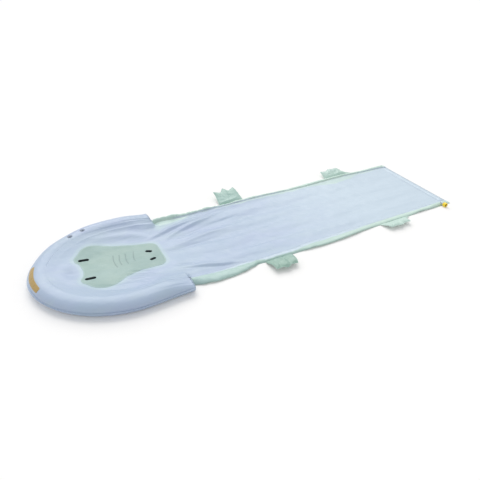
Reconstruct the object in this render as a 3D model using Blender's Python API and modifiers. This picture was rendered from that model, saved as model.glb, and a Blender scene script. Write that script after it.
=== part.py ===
"""Water slide mat: a film runway with hose-fed spray channels and an air-filled bumper at its nose.

The mat lies laid out for use. +X runs from the bumper's nose to the hose end, +Y is the mat's right side
as its rider faces the bumper, and +Z is up. The origin is on the ground under the middle of the outline.
Sizes are in metres and angles in degrees. Distances "from the nose" are measured along X.
"""
import math

import bmesh
import bpy
from mathutils import Matrix, Vector

# Whole mat
MAT_LENGTH = 3.00
GAP = 0.0003            # clearance between pieces that touch or are welded
SHEET_FILM = 0.0005     # ground sheet, slide sheet, channels, head panel
WELD_WIDTH = 0.008      # flat border where two films are welded

# Bumper: a U-shaped air tube of two skins, open towards the runway
BUMPER_WIDTH = 0.970    # over the weld fins
BUMPER_LENGTH = 0.855    # nose to the arms' ends
NOSE_DEPTH = 0.558      # nose to the widest place
NOSE_ROUNDNESS = 1.9    # 2 would make the nose half an ellipse
ARM_INSET = 0.014       # how far each arm eases inwards before it ends
ARM_EASE = 0.180        # length over which an arm's crest comes down to its end
ARM_END_SHARE = 0.60    # share of the upper skin's rise that is left there
TUBE_WIDTH = 0.136
TUBE_HEIGHT = 0.088
SEAM_HEIGHT = 0.041     # height of the weld between the two skins
FOOTPRINT = 0.050       # width of the flattened strip that rests on the ground
BUMPER_FILM = 0.0006
ARM_END_BULGE = 0.012   # how far the pressure domes the panel that closes an arm

# Runway
SHOULDER_WIDTH = 0.780  # outer width between the bumper and the front feet's rear side
HIP_WIDTH = 0.766       # outer width at the rear feet
TAPER_START = 1.75      # from the nose
TAPER_END = 2.30        # from the nose
SHEET_FLARE = 0.012     # behind the arms, where the slide sheet widens and comes down from them
LIFT_HEIGHT = 0.018     # what is then left of its edge's height
LIFT_LENGTH = 0.25      # where that edge comes down to the ground
FLOOR_SLOPE_LENGTH = 1.10
FURROW_PITCH = 0.157    # the film's soft lengthwise furrows
FURROW_HEIGHT = 0.007
FURROW_START = 0.80     # from the nose
FURROW_PEAK = 1.15      # from the nose
FURROW_FADE = 0.30      # share of the height that is left at the rear

# Spray channels
CHANNEL_WIDTH = 0.036
CHANNEL_HEIGHT = 0.026
CHANNEL_REAR_HEIGHT = 0.016
CHANNEL_EASE_START = 2.35     # from the nose
CHANNEL_TAPER = 0.045   # length over which a channel's end closes
SPRAY_HOLE_RADIUS = 0.0013
SPRAY_PITCH = 0.15
SPRAY_START = 1.05      # from the nose
SPRAY_COUNT = 13
FEED_WIDTH = 0.030      # the cross channel at the rear edge
FEED_HEIGHT = 0.004
FEED_INSET = 0.006      # rear edge of the mat to the cross channel's weld

# Crocodile head panel, welded on the pool floor with its snout towards the runway
HEAD_START = 0.283      # from the nose to the eye bumps
HEAD_LENGTH = 0.545
CHEEK_WIDTH = 0.470
EYE_BUMP_SPACING = 0.210
EYE_NOTCH_DEPTH = 0.034
SNOUT_WIDTH = 0.312
SNOUT_TIP_WIDTH = 0.290

# Crocodile feet, film flaps welded on the channels' outer borders
FOOT_TILT = 20.0        # the filled channel lifts each flap's tip
FOOT_EDGE = 0.0020
FOOT_CROWN = 0.0045
FOOT_CROWN_INSET = 0.008
FRONT_FOOT_RIGHT_AT = 1.51    # from the nose
FRONT_FOOT_LEFT_AT = 1.46     # from the nose
FRONT_FOOT_LENGTH = 0.168
FRONT_ROOT_WIDTH = 0.200
FRONT_PALM_WIDTH = 0.180
REAR_FOOT_RIGHT_AT = 2.48     # from the nose
REAR_FOOT_LEFT_AT = 2.40      # from the nose
REAR_FOOT_LENGTH = 0.122
REAR_ROOT_WIDTH = 0.190
REAR_PALM_WIDTH = 0.205
THIGH_LENGTH = 0.085    # smooth lobe behind a rear foot
CLAW_SHARE = 0.27       # claw length as a share of the foot's length

# Air valves on the bumper's crest
VALVE_ANGLES = (58.0, 69.5)   # places around the nose, from its tip
VALVE_FLANGE_RADIUS = 0.0160
VALVE_FLANGE_THICKNESS = 0.0010
STEM_RADIUS = 0.0072
STEM_LENGTH = 0.0160
STEM_CLEARANCE = 0.0004
LIP_RADIUS = 0.0104
LIP_THICKNESS = 0.0016
VALVE_BORE_RADIUS = 0.0045
FLAP_RADIUS = 0.0062
FLAP_THICKNESS = 0.0008
PLUG_RADIUS = 0.0084
PLUG_THICKNESS = 0.0018
SHANK_CLEARANCE = 0.0004
SHANK_TIP_RADIUS = 0.0025
SHANK_DEPTH = 0.0070
STRAP_REACH = 0.0115    # valve axis to the strap's bend
STRAP_WIDTH = 0.0055
STRAP_THICKNESS = 0.0008

# Hose coupling at the left rear corner, its axis across the mat
COUPLING_AT = 2.920     # from the nose
COUPLING_OUTSIDE = 0.008  # mat's edge to the back of the coupling nut
NUT_RADIUS = 0.0160
NUT_LENGTH = 0.0220
NUT_SHOULDER = 0.0030
THREAD_RADIUS = 0.0133
NUT_RIBS = 12
RIB_RADIUS = 0.0018
RIB_DEPTH = 0.0008
NECK_RADIUS = 0.0100
LIP_GRIP = 0.0018       # how far the adapter's lip stands over its neck
ADAPTER_LIP = 0.0025
COLLAR_RADIUS = 0.0125
COLLAR_LENGTH = 0.0040
BARB_RADIUS = 0.0065
BARB_LENGTH = 0.0220
WATER_BORE_RADIUS = 0.0050
WASHER_THICKNESS = 0.0025
WASHER_BORE_RADIUS = 0.0070
TURNING_CLEARANCE = 0.0003
SLEEVE_WALL = 0.0010
SLEEVE_LENGTH = 0.0300
GROUND_CLEARANCE = 0.0005

# Smoothness
NOSE_STEPS = 14
ARM_STEPS = 5
RUNWAY_STEPS = 18
TUBE_STEPS = 11         # odd, so that the crest is a flat facet
UNDERSIDE_STEPS = 4
HALF_SHEET_STEPS = 10
ARCH_STEPS = 6
TURN_STEPS = 20


def from_nose(distance):
    return distance - MAT_LENGTH / 2


def smooth(value):
    value = min(max(value, 0.0), 1.0)
    return value * value * (3 - 2 * value)


def mix(start, end, share):
    return start + (end - start) * share


# Places that several pieces share
ARM_END = from_nose(BUMPER_LENGTH)
REAR = from_nose(MAT_LENGTH)
TUBE_HALF = TUBE_WIDTH / 2
UPPER_SEAM = SEAM_HEIGHT + GAP / 2 + BUMPER_FILM    # top of the upper skin's weld border
LOWER_SEAM = SEAM_HEIGHT - GAP / 2 - BUMPER_FILM    # underside of the lower skin's weld border
SHEET_ON_SEAM = UPPER_SEAM + GAP                    # underside of the slide sheet on the bumper
SHEET_ON_GROUND = SHEET_FILM + GAP                  # underside of a film that lies on the ground sheet
BEHIND_ARMS = ARM_END + ARM_END_BULGE + 2 * BUMPER_FILM + GAP
CHANNEL_START = BEHIND_ARMS + SHEET_FLARE
FLAT_REAR = REAR - FEED_INSET - 2 * WELD_WIDTH - FEED_WIDTH - 2 * GAP    # the sheets are flat from here on


def reset_scene():
    for obj in list(bpy.data.objects):
        bpy.data.objects.remove(obj, do_unlink=True)
    for name in ("water_slide_mat", "cutters"):
        old = bpy.data.collections.get(name)
        if old:
            bpy.data.collections.remove(old)
        collection = bpy.data.collections.new(name)
        bpy.context.scene.collection.children.link(collection)


def material(name, color, roughness):
    finish = bpy.data.materials.new(name)
    finish.use_nodes = True
    shader = finish.node_tree.nodes["Principled BSDF"]
    shader.inputs["Base Color"].default_value = (*color, 1.0)
    shader.inputs["Roughness"].default_value = roughness
    shader.inputs["Metallic"].default_value = 0.0
    finish.diffuse_color = (*color, 1.0)
    return finish


def add_part(name, data, finish, parent=None):
    part = bpy.data.objects.new(name, data)
    bpy.data.collections["water_slide_mat"].objects.link(part)
    part.data.materials.append(finish)
    part.parent = parent
    return part


def add_axis(name, place, turn=(0.0, 0.0, 0.0)):
    axis = bpy.data.objects.new(name, None)
    bpy.data.collections["water_slide_mat"].objects.link(axis)
    axis.location = place
    axis.rotation_euler = turn
    axis.empty_display_size = 0.02
    return axis


def add_cutter(name, mesh, parent=None):
    cutter = bpy.data.objects.new(name, mesh)
    bpy.data.collections["cutters"].objects.link(cutter)
    cutter.hide_render = True
    cutter.display_type = "WIRE"
    cutter.parent = parent
    return cutter


def cut(part, cutter, operation="DIFFERENCE"):
    boolean = part.modifiers.new(cutter.name, "BOOLEAN")
    boolean.operation = operation
    boolean.solver = "EXACT"
    boolean.object = cutter


def thicken(part, film, outwards=False):
    shell = part.modifiers.new("film", "SOLIDIFY")
    shell.thickness = film
    shell.offset = 1.0 if outwards else -1.0
    shell.use_even_offset = True
    shell.use_rim = True


def mirror_across(part):
    halves = part.modifiers.new("left_half", "MIRROR")
    halves.use_axis = (False, True, False)
    halves.use_clip = True
    halves.merge_threshold = 0.00001


def lofted_mesh(name, rows, flip=False):
    """An open surface through rows of points, facing up where rows run along +X and points towards the middle."""
    width = len(rows[0])
    points = [point for row in rows for point in row]
    faces = []
    for row in range(len(rows) - 1):
        for column in range(width - 1):
            corner = row * width + column
            face = (corner, corner + 1, corner + width + 1, corner + width)
            faces.append(face[::-1] if flip else face)
    mesh = bpy.data.meshes.new(name)
    mesh.from_pydata(points, [], faces)
    form = bmesh.new()
    form.from_mesh(mesh)
    bmesh.ops.remove_doubles(form, verts=form.verts, dist=0.00001)
    bmesh.ops.triangulate(form, faces=form.faces)
    form.to_mesh(mesh)
    form.free()
    return mesh


def cylinder_mesh(name, radius, low, high, sides):
    form = bmesh.new()
    place = Matrix.Translation((0, 0, (low + high) / 2))
    bmesh.ops.create_cone(form, cap_ends=True, segments=sides, radius1=radius, radius2=radius,
                          depth=high - low, matrix=place)
    mesh = bpy.data.meshes.new(name)
    form.to_mesh(mesh)
    form.free()
    return mesh


def turned_part(name, profile, finish, parent, closed):
    """A body turned about its parent's Z axis; the profile runs down its outer side."""
    points = [(radius, 0.0, height) for radius, height in profile]
    edges = [(k, k + 1) for k in range(len(points) - 1)]
    if closed:
        edges.append((len(points) - 1, 0))
    mesh = bpy.data.meshes.new(name)
    mesh.from_pydata(points, edges, [])
    part = add_part(name, mesh, finish, parent)
    screw = part.modifiers.new("turn", "SCREW")
    screw.steps = TURN_STEPS
    screw.render_steps = TURN_STEPS
    screw.use_merge_vertices = True
    screw.merge_threshold = 0.00001
    screw.use_smooth_shade = False
    return part


# Bumper

def nose_station(angle):
    """Station (x, y, outward x, outward y) on the tube's middle, at a place around the nose from its tip."""
    depth = NOSE_DEPTH - TUBE_HALF - WELD_WIDTH
    half = BUMPER_WIDTH / 2 - TUBE_HALF - WELD_WIDTH
    turn = math.radians(angle)
    along = max(math.cos(turn), 0.0) ** (2 / NOSE_ROUNDNESS)
    across = math.sin(turn) ** (2 / NOSE_ROUNDNESS)
    power = NOSE_ROUNDNESS - 1
    outward = Vector((-along ** power / depth, across ** power / half)).normalized()
    return from_nose(NOSE_DEPTH) - depth * along, half * across, *outward


def bumper_path():
    """Stations along the right half of the tube's middle, from the nose to the arm's end."""
    stations = [nose_station(90 * step / NOSE_STEPS) for step in range(NOSE_STEPS + 1)]
    half = stations[-1][1]
    widest = from_nose(NOSE_DEPTH)
    arm = ARM_END - widest
    for step in range(1, ARM_STEPS + 1):
        share = step / ARM_STEPS
        slope = -ARM_INSET * 6 * share * (1 - share) / arm
        outward = Vector((-slope, 1.0)).normalized()
        stations.append((mix(widest, ARM_END, share), half - ARM_INSET * smooth(share), *outward))
    return stations


def upper_section(offset=0.0):
    """Points (outward, height) over the tube, from its outer weld edge to its inner one."""
    half = TUBE_HALF + offset
    crest = math.sin(math.pi / 2 * (1 - 1 / TUBE_STEPS))
    rise = (TUBE_HEIGHT + offset - UPPER_SEAM) / crest
    arc = [math.pi * step / TUBE_STEPS for step in range(TUBE_STEPS + 1)]
    over = [(half * math.cos(angle), UPPER_SEAM + rise * math.sin(angle)) for angle in arc]
    return [(half + WELD_WIDTH, UPPER_SEAM)] + over + [(-half - WELD_WIDTH, UPPER_SEAM)]


def lower_section():
    """Points (outward, height) under the tube, with its flat strip on the ground."""
    outer = [(TUBE_HALF + WELD_WIDTH, LOWER_SEAM)]
    for step in range(UNDERSIDE_STEPS + 1):
        angle = math.pi / 2 * step / UNDERSIDE_STEPS
        out = mix(FOOTPRINT / 2, TUBE_HALF, math.cos(angle))
        outer.append((out, LOWER_SEAM * (1 - math.sin(angle))))
    inner = [(-out, height) for out, height in reversed(outer)]
    return outer + inner


def crest_share(x):
    """Share of the upper skin's rise over its seam, which eases down towards the arms' ends."""
    return mix(1.0, ARM_END_SHARE, smooth(1 - (ARM_END - x) / ARM_EASE))


def swept_rows(section, stations):
    """Rows of a section along the path; only what lies above the upper seam eases down with the arms."""
    rows = []
    for x, y, out_x, out_y in stations:
        share = crest_share(x)
        rows.append([(x + out_x * out, y + out_y * out, height if height < UPPER_SEAM else
                      mix(UPPER_SEAM, height, share)) for out, height in section])
    return rows


def build_bumper(film_blue):
    path = bumper_path()
    upper = add_part("bumper_upper_skin", lofted_mesh("upper_skin", swept_rows(upper_section(), path)),
                     film_blue)
    lower = add_part("bumper_lower_skin",
                     lofted_mesh("lower_skin", swept_rows(lower_section(), path), flip=True), film_blue)
    for skin in (upper, lower):
        mirror_across(skin)
        thicken(skin, BUMPER_FILM)
    for side, word in ((1, "right"), (-1, "left")):
        build_arm_end(side, word, film_blue)
    return upper


def build_arm_end(side, word, film_blue):
    """A domed panel that closes the tube where an arm ends."""
    middle_y = bumper_path()[-1][1]
    share = crest_share(ARM_END)
    middle_z = TUBE_HEIGHT * share / 2
    over = [(out, mix(UPPER_SEAM, height, share)) for out, height in upper_section()[1:-1]]
    under = lower_section()[1:-1]
    outline = over + list(reversed(under))
    outline.append(outline[0])
    rings = []
    for share in (0.99, 0.8, 0.45, 0.0):
        x = ARM_END + GAP + ARM_END_BULGE * (1 - share * share)
        rings.append([(x, side * (middle_y + out * share), mix(middle_z, height, share))
                      for out, height in outline])
    panel = add_part("arm_end_panel_" + word, lofted_mesh("arm_end_" + word, rings, flip=side < 0), film_blue)
    thicken(panel, BUMPER_FILM, outwards=True)


# Films of the runway

def outer_half(x):
    share = smooth((x - from_nose(TAPER_START)) / (TAPER_END - TAPER_START))
    return mix(SHOULDER_WIDTH, HIP_WIDTH, share) / 2


def sheet_half(x):
    return outer_half(x) - WELD_WIDTH - CHANNEL_WIDTH


def runway_stations():
    """Places along X from just behind the arms' ends to the rear edge."""
    return [mix(CHANNEL_START, FLAT_REAR, step / RUNWAY_STEPS) for step in range(RUNWAY_STEPS + 1)] + [REAR]


def edge_height(x):
    """Underside of the slide sheet's edge: on the bumper's seam, then down to the ground sheet."""
    if x <= BEHIND_ARMS:
        return SHEET_ON_SEAM
    return mix(LIFT_HEIGHT, SHEET_ON_GROUND, smooth((x - CHANNEL_START) / LIFT_LENGTH))


def floor_height(x, share):
    """Underside of the slide sheet at a share of the way from the middle line to its weld."""
    front = bumper_path()[0][0] + TUBE_HALF + WELD_WIDTH
    down = min(max((x - front) / FLOOR_SLOPE_LENGTH, 0.0), 1.0)
    middle = mix(SHEET_ON_SEAM, SHEET_ON_GROUND, 1 - (1 - down) ** 1.1)
    rise = smooth((x - from_nose(FURROW_START)) / (FURROW_PEAK - FURROW_START))
    fall = mix(1.0, FURROW_FADE, smooth((x - from_nose(FURROW_PEAK)) / (MAT_LENGTH - FURROW_PEAK)))
    flat_rear = smooth((FLAT_REAR - x) / FURROW_PITCH)
    wave = (1 - math.cos(2 * math.pi * share * sheet_half(x) / FURROW_PITCH)) / 2 * (1 - share ** 8)
    furrow = FURROW_HEIGHT * rise * fall * flat_rear * wave
    return mix(middle, edge_height(x), share ** 3) + furrow


def sheet_rows():
    """Rows across the right half of the slide sheet, from its welded edge to the middle line."""
    edge_clearance = 0.001
    weld = TUBE_HALF + WELD_WIDTH
    edge = TUBE_HALF + edge_clearance
    stations = bumper_path()
    stations.append((BEHIND_ARMS, *stations[-1][1:]))
    rows = [sheet_row(x - out_x * weld, y - out_y * weld, x - out_x * edge, y - out_y * edge)
            for x, y, out_x, out_y in stations]
    for x in [CHANNEL_START - 4 * SHEET_FILM] + channel_stations():
        half = sheet_half(x)
        rows.append(sheet_row(x, half - WELD_WIDTH, x, half - edge_clearance))
    return rows


def sheet_row(weld_x, weld_y, edge_x, edge_y):
    height = edge_height(weld_x)
    row = [(edge_x, edge_y, height), (weld_x, weld_y, height)]
    for step in range(1, HALF_SHEET_STEPS + 1):
        share = 1 - step / HALF_SHEET_STEPS
        row.append((weld_x, weld_y * share, floor_height(weld_x, share)))
    return row


def build_slide_sheet(film_blue):
    sheet = add_part("slide_sheet", lofted_mesh("slide_sheet", sheet_rows()), film_blue)
    mirror_across(sheet)
    thicken(sheet, SHEET_FILM, outwards=True)


def build_ground_sheet(film_green):
    """A flat film under the runway, whose front border is tucked against the bumper's underside."""
    flat, rising = lower_section()[-UNDERSIDE_STEPS - 2:-UNDERSIDE_STEPS]
    share = (SHEET_FILM + GAP) / rising[1]
    tuck = -mix(flat[0], rising[0], share)
    half = [(x - out_x * tuck, y - out_y * tuck) for x, y, out_x, out_y in bumper_path()[1:]]
    half += [(x, outer_half(x)) for x in runway_stations()]
    outline = half + [(x, -y) for x, y in reversed(half)]
    curve = bpy.data.curves.new("ground_sheet", "CURVE")
    curve.dimensions = "2D"
    curve.fill_mode = "BOTH"
    curve.extrude = SHEET_FILM / 2
    spline = curve.splines.new("POLY")
    spline.points.add(len(outline) - 1)
    for point, (x, y) in zip(spline.points, outline):
        point.co = (x, y, 0.0, 1.0)
    spline.use_cyclic_u = True
    sheet = add_part("ground_sheet", curve, film_green)
    sheet.location.z = SHEET_FILM / 2


# Spray channels

def channel_crown(x):
    opening = min(x - CHANNEL_START, REAR - x) / CHANNEL_TAPER
    ease = smooth((x - from_nose(CHANNEL_EASE_START)) / (MAT_LENGTH - CHANNEL_EASE_START))
    return mix(0.003, mix(CHANNEL_HEIGHT, CHANNEL_REAR_HEIGHT, ease), smooth(opening))


def channel_arch(x, share):
    """Point (y, z) over the right channel at a share of the way from its inner to its outer foot."""
    inner = edge_height(x) + SHEET_FILM + GAP
    across = (1 - math.cos(math.pi * share)) / 2
    rise = (channel_crown(x) - SHEET_ON_GROUND) * math.sin(math.pi * share)
    return sheet_half(x) + CHANNEL_WIDTH * across, mix(inner, SHEET_ON_GROUND, across) + rise


def channel_stations():
    ends = (CHANNEL_START + CHANNEL_TAPER / 2, CHANNEL_START + CHANNEL_TAPER,
            REAR - CHANNEL_TAPER, REAR - CHANNEL_TAPER / 2)
    return sorted(runway_stations() + list(ends))


def build_channel(side, word, film_green):
    rows = []
    for x in channel_stations():
        row = [(x, side * outer_half(x), SHEET_ON_GROUND)]
        for step in range(ARCH_STEPS + 1):
            y, z = channel_arch(x, 1 - step / ARCH_STEPS)
            row.append((x, side * y, z))
        row.append((x, side * (sheet_half(x) - WELD_WIDTH), row[-1][2]))
        rows.append(row)
    mesh = lofted_mesh("channel_" + word, rows, flip=side < 0)
    channel = add_part("spray_channel_" + word, mesh, film_green)
    thicken(channel, SHEET_FILM, outwards=True)
    cut(channel, spray_hole_cutter(side, word))
    return channel


def spray_hole_cutter(side, word):
    """One short drill for each spray hole, square to the channel's inner flank."""
    place_on_arch = 0.26
    form = bmesh.new()
    for number in range(SPRAY_COUNT):
        x = from_nose(SPRAY_START + SPRAY_PITCH * number)
        y, z = channel_arch(x, place_on_arch)
        y_before, z_before = channel_arch(x, place_on_arch - 0.05)
        y_after, z_after = channel_arch(x, place_on_arch + 0.05)
        outward = Vector((0.0, side * (z_before - z_after), y_after - y_before)).normalized()
        turn = Vector((0, 0, 1)).rotation_difference(outward).to_matrix().to_4x4()
        place = Matrix.Translation((x, side * y, z)) @ turn
        bmesh.ops.create_cone(form, cap_ends=True, segments=6, radius1=SPRAY_HOLE_RADIUS,
                              radius2=SPRAY_HOLE_RADIUS, depth=0.008, matrix=place)
    mesh = bpy.data.meshes.new("spray_holes_" + word)
    form.to_mesh(mesh)
    form.free()
    return add_cutter("spray_holes_" + word, mesh)


def build_feed_channel(film_blue):
    """A low film tunnel across the rear edge, which carries the water from the inlet to the far side."""
    reach = sheet_half(REAR) - 2 * WELD_WIDTH
    rear = REAR - FEED_INSET
    base = SHEET_ON_GROUND + SHEET_FILM + GAP
    section = [(rear, base)]
    for step in range(ARCH_STEPS + 1):
        turn = math.pi * step / ARCH_STEPS
        x = rear - WELD_WIDTH - FEED_WIDTH * (1 - math.cos(turn)) / 2
        section.append((x, base + FEED_HEIGHT * math.sin(turn)))
    section.append((section[-1][0] - WELD_WIDTH, base))
    rows = [[(x, y, z) for x, z in section] for y in (-reach, reach)]
    feed = add_part("rear_feed_channel", lofted_mesh("feed_channel", rows, flip=True), film_blue)
    thicken(feed, SHEET_FILM, outwards=True)


# Crocodile figure

def head_outline():
    """Right half of the head seen from above, as (distance from the head's start, half-width)."""
    bump = EYE_BUMP_SPACING / 2
    points = [(EYE_NOTCH_DEPTH, 0.0), (EYE_NOTCH_DEPTH * 0.8, bump * 0.45)]
    for step in range(5):
        turn = math.pi * (0.15 + 0.75 * step / 4)
        points.append((EYE_NOTCH_DEPTH * (1 - math.sin(turn)), bump * (1.05 - 0.42 * math.cos(turn))))
    points += [(HEAD_LENGTH * 0.11, CHEEK_WIDTH * 0.445), (HEAD_LENGTH * 0.20, CHEEK_WIDTH / 2),
               (HEAD_LENGTH * 0.29, CHEEK_WIDTH * 0.490), (HEAD_LENGTH * 0.39, CHEEK_WIDTH * 0.445),
               (HEAD_LENGTH * 0.48, mix(CHEEK_WIDTH, SNOUT_WIDTH, 0.62) / 2),
               (HEAD_LENGTH * 0.60, mix(CHEEK_WIDTH, SNOUT_WIDTH, 0.82) / 2),
               (HEAD_LENGTH * 0.74, SNOUT_WIDTH / 2)]
    corner = SNOUT_TIP_WIDTH * 0.20
    for step in range(5):
        turn = math.pi / 2 * step / 4
        points.append((HEAD_LENGTH - corner * (1 - math.sin(turn)),
                       SNOUT_TIP_WIDTH / 2 - corner * (1 - math.cos(turn))))
    points.append((HEAD_LENGTH, 0.0))
    return points


def build_head_panel(film_green):
    """A patch of film that follows the pool floor, trimmed to the head's outline."""
    start = from_nose(HEAD_START)
    lift = SHEET_FILM + GAP
    reach = SPRAY_PITCH
    rows = [[(x, y, z + lift) for x, y, z in row[1:]] for row in sheet_rows()
            if start - reach < row[-1][0] < start + HEAD_LENGTH + reach]
    panel = add_part("croc_head_panel", lofted_mesh("head_panel", rows), film_green)
    mirror_across(panel)
    thicken(panel, SHEET_FILM, outwards=True)
    right = [(start + along, half) for along, half in head_outline()]
    outline = right + [(x, -y) for x, y in reversed(right[1:-1])]
    form = bmesh.new()
    floor = form.faces.new([form.verts.new((x, y, 0.0)) for x, y in outline])
    walls = bmesh.ops.extrude_face_region(form, geom=[floor])
    top = [item for item in walls["geom"] if isinstance(item, bmesh.types.BMVert)]
    bmesh.ops.translate(form, verts=top, vec=(0, 0, TUBE_HEIGHT))
    bmesh.ops.recalc_face_normals(form, faces=form.faces)
    mesh = bpy.data.meshes.new("head_outline")
    form.to_mesh(mesh)
    form.free()
    cut(panel, add_cutter("head_outline", mesh), "INTERSECT")


def foot_outline(length, root, palm, thigh):
    """A foot seen from above, as (along the mat, outwards), with three claws and a lobe behind it."""
    claws = length * (1 - CLAW_SHARE)
    nose_side = []
    rear_side = []
    for step in range(4):
        share = step / 4
        nose_side.append((-mix(root, palm, smooth(share)) / 2, claws * share))
        swell = (root / 2 + thigh) * (1 - share) + palm / 2 * share - 0.25 * thigh * math.sin(math.pi * share)
        rear_side.append((swell, claws * share))
    half = palm / 2
    tips = [(-half * 1.02, length * 0.90), (-half * 0.42, claws * 1.02), (-half * 0.05, length),
            (half * 0.36, claws * 1.04), (half * 0.90, length * 0.92), (half, claws)]
    return nose_side + [(-half, claws)] + tips + list(reversed(rear_side))


def build_foot(name, outline, middle, side, film_green):
    """A soft flap with thin welded edges and a puffed middle, hinged at its weld on the channel's border."""
    form = bmesh.new()
    under = form.faces.new([form.verts.new((x, side * out, 0.0)) for x, out in outline])
    raised = bmesh.ops.extrude_face_region(form, geom=[under])
    verts = [item for item in raised["geom"] if isinstance(item, bmesh.types.BMVert)]
    bmesh.ops.translate(form, verts=verts, vec=(0, 0, FOOT_EDGE))
    top = [item for item in raised["geom"] if isinstance(item, bmesh.types.BMFace)]
    bmesh.ops.recalc_face_normals(form, faces=form.faces)
    bmesh.ops.inset_region(form, faces=top, thickness=FOOT_CROWN_INSET, depth=FOOT_CROWN,
                           use_boundary=True, use_even_offset=True)
    bmesh.ops.triangulate(form, faces=form.faces)
    mesh = bpy.data.meshes.new(name)
    form.to_mesh(mesh)
    form.free()
    foot = add_part(name, mesh, film_green)
    root_inset = 0.002
    foot.location = (middle, side * (outer_half(middle) - root_inset), SHEET_ON_GROUND + SHEET_FILM + GAP)
    foot.rotation_euler.x = side * math.radians(FOOT_TILT)


def build_feet(film_green):
    front = foot_outline(FRONT_FOOT_LENGTH, FRONT_ROOT_WIDTH, FRONT_PALM_WIDTH, 0.0)
    rear = foot_outline(REAR_FOOT_LENGTH, REAR_ROOT_WIDTH, REAR_PALM_WIDTH, THIGH_LENGTH)
    for side, word, front_at, rear_at in ((1, "right", FRONT_FOOT_RIGHT_AT, REAR_FOOT_RIGHT_AT),
                                          (-1, "left", FRONT_FOOT_LEFT_AT, REAR_FOOT_LEFT_AT)):
        build_foot("front_foot_" + word, front, from_nose(front_at), side, film_green)
        build_foot("rear_foot_" + word, rear, from_nose(rear_at), side, film_green)


# Air valves

def valve_place(angle):
    """Point on the crest's middle and the direction of the path there."""
    x, y, out_x, out_y = nose_station(angle)
    return (x, y, TUBE_HEIGHT), math.atan2(-out_x, out_y)


def build_valve(number, angle, bumper, soft_clear, soft_white):
    place, along = valve_place(angle)
    axis = add_axis(f"valve_axis_{number}", place, (0.0, 0.0, along))
    hole = STEM_RADIUS + STEM_CLEARANCE
    drill = add_cutter(f"valve_hole_{number}", cylinder_mesh("valve_hole", hole, -0.02, 0.02, TURN_STEPS), axis)
    cut(bumper, drill)
    build_valve_flange(number, angle, drill, axis, soft_clear)
    seat = GAP + VALVE_FLANGE_THICKNESS + GAP
    top = seat + LIP_THICKNESS
    foot = top - STEM_LENGTH
    stem = [(LIP_RADIUS, top), (LIP_RADIUS, seat), (STEM_RADIUS, seat), (STEM_RADIUS, foot),
            (VALVE_BORE_RADIUS, foot), (VALVE_BORE_RADIUS, top)]
    turned_part(f"valve_stem_{number}", stem, soft_clear, axis, closed=True)
    build_flap(number, foot - GAP, axis, soft_clear)
    build_plug(number, top + GAP, axis, soft_white)


def build_valve_flange(number, angle, drill, axis, finish):
    """A ring of thicker film that follows the bumper's crest around the valve."""
    step = round(angle / 90 * NOSE_STEPS)
    near = bumper_path()[step - 2:step + 3]
    crest = upper_section(GAP)[TUBE_STEPS // 2 - 1:TUBE_STEPS // 2 + 5]
    mesh = lofted_mesh(f"valve_flange_{number}", swept_rows(crest, near))
    flange = add_part(f"valve_flange_{number}", mesh, finish)
    thicken(flange, VALVE_FLANGE_THICKNESS, outwards=True)
    disc = cylinder_mesh("valve_disc", VALVE_FLANGE_RADIUS, -0.02, 0.02, TURN_STEPS)
    cut(flange, add_cutter(f"valve_disc_{number}", disc, axis), "INTERSECT")
    cut(flange, drill)


def tongue_outline(radius, reach, width):
    """A disc with a straight tongue towards +X, as points around it."""
    start = math.asin(width / 2 / radius)
    points = [(reach, -width / 2), (reach, width / 2)]
    for step in range(TURN_STEPS + 1):
        turn = start + (2 * math.pi - 2 * start) * step / TURN_STEPS
        points.append((radius * math.cos(turn), radius * math.sin(turn)))
    return points


def slab_mesh(name, outline, low, high):
    form = bmesh.new()
    base = form.faces.new([form.verts.new((x, y, low)) for x, y in outline])
    walls = bmesh.ops.extrude_face_region(form, geom=[base])
    verts = [item for item in walls["geom"] if isinstance(item, bmesh.types.BMVert)]
    bmesh.ops.translate(form, verts=verts, vec=(0, 0, high - low))
    bmesh.ops.recalc_face_normals(form, faces=form.faces)
    mesh = bpy.data.meshes.new(name)
    form.to_mesh(mesh)
    form.free()
    return mesh


def build_flap(number, top, axis, finish):
    """The non-return flap that closes the stem's inner end, hinged at its tongue."""
    outline = tongue_outline(FLAP_RADIUS, STEM_RADIUS, STRAP_WIDTH)
    mesh = slab_mesh(f"valve_flap_{number}", outline, top - FLAP_THICKNESS, top)
    add_part(f"valve_flap_{number}", mesh, finish, axis)


def build_plug(number, base, axis, finish):
    """The plug: a lid with a conical shank, on a strap that bends beside the lip."""
    root = VALVE_BORE_RADIUS - SHANK_CLEARANCE
    profile = [(0.0, base + PLUG_THICKNESS), (PLUG_RADIUS * 0.86, base + PLUG_THICKNESS),
               (PLUG_RADIUS, base + PLUG_THICKNESS * 0.6), (PLUG_RADIUS, base), (root, base),
               (SHANK_TIP_RADIUS, base - SHANK_DEPTH), (0.0, base - SHANK_DEPTH)]
    plug = turned_part(f"valve_plug_{number}", profile, finish, axis, closed=False)
    inside = PLUG_RADIUS / 2
    strap = [(inside, -STRAP_WIDTH / 2), (STRAP_REACH, -STRAP_WIDTH / 2),
             (STRAP_REACH, STRAP_WIDTH / 2), (inside, STRAP_WIDTH / 2)]
    mesh = slab_mesh(f"plug_strap_{number}", strap, base + GAP / 2, base + GAP / 2 + STRAP_THICKNESS)
    cut(plug, add_cutter(f"plug_strap_{number}", mesh, axis), "UNION")


# Hose coupling

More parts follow.
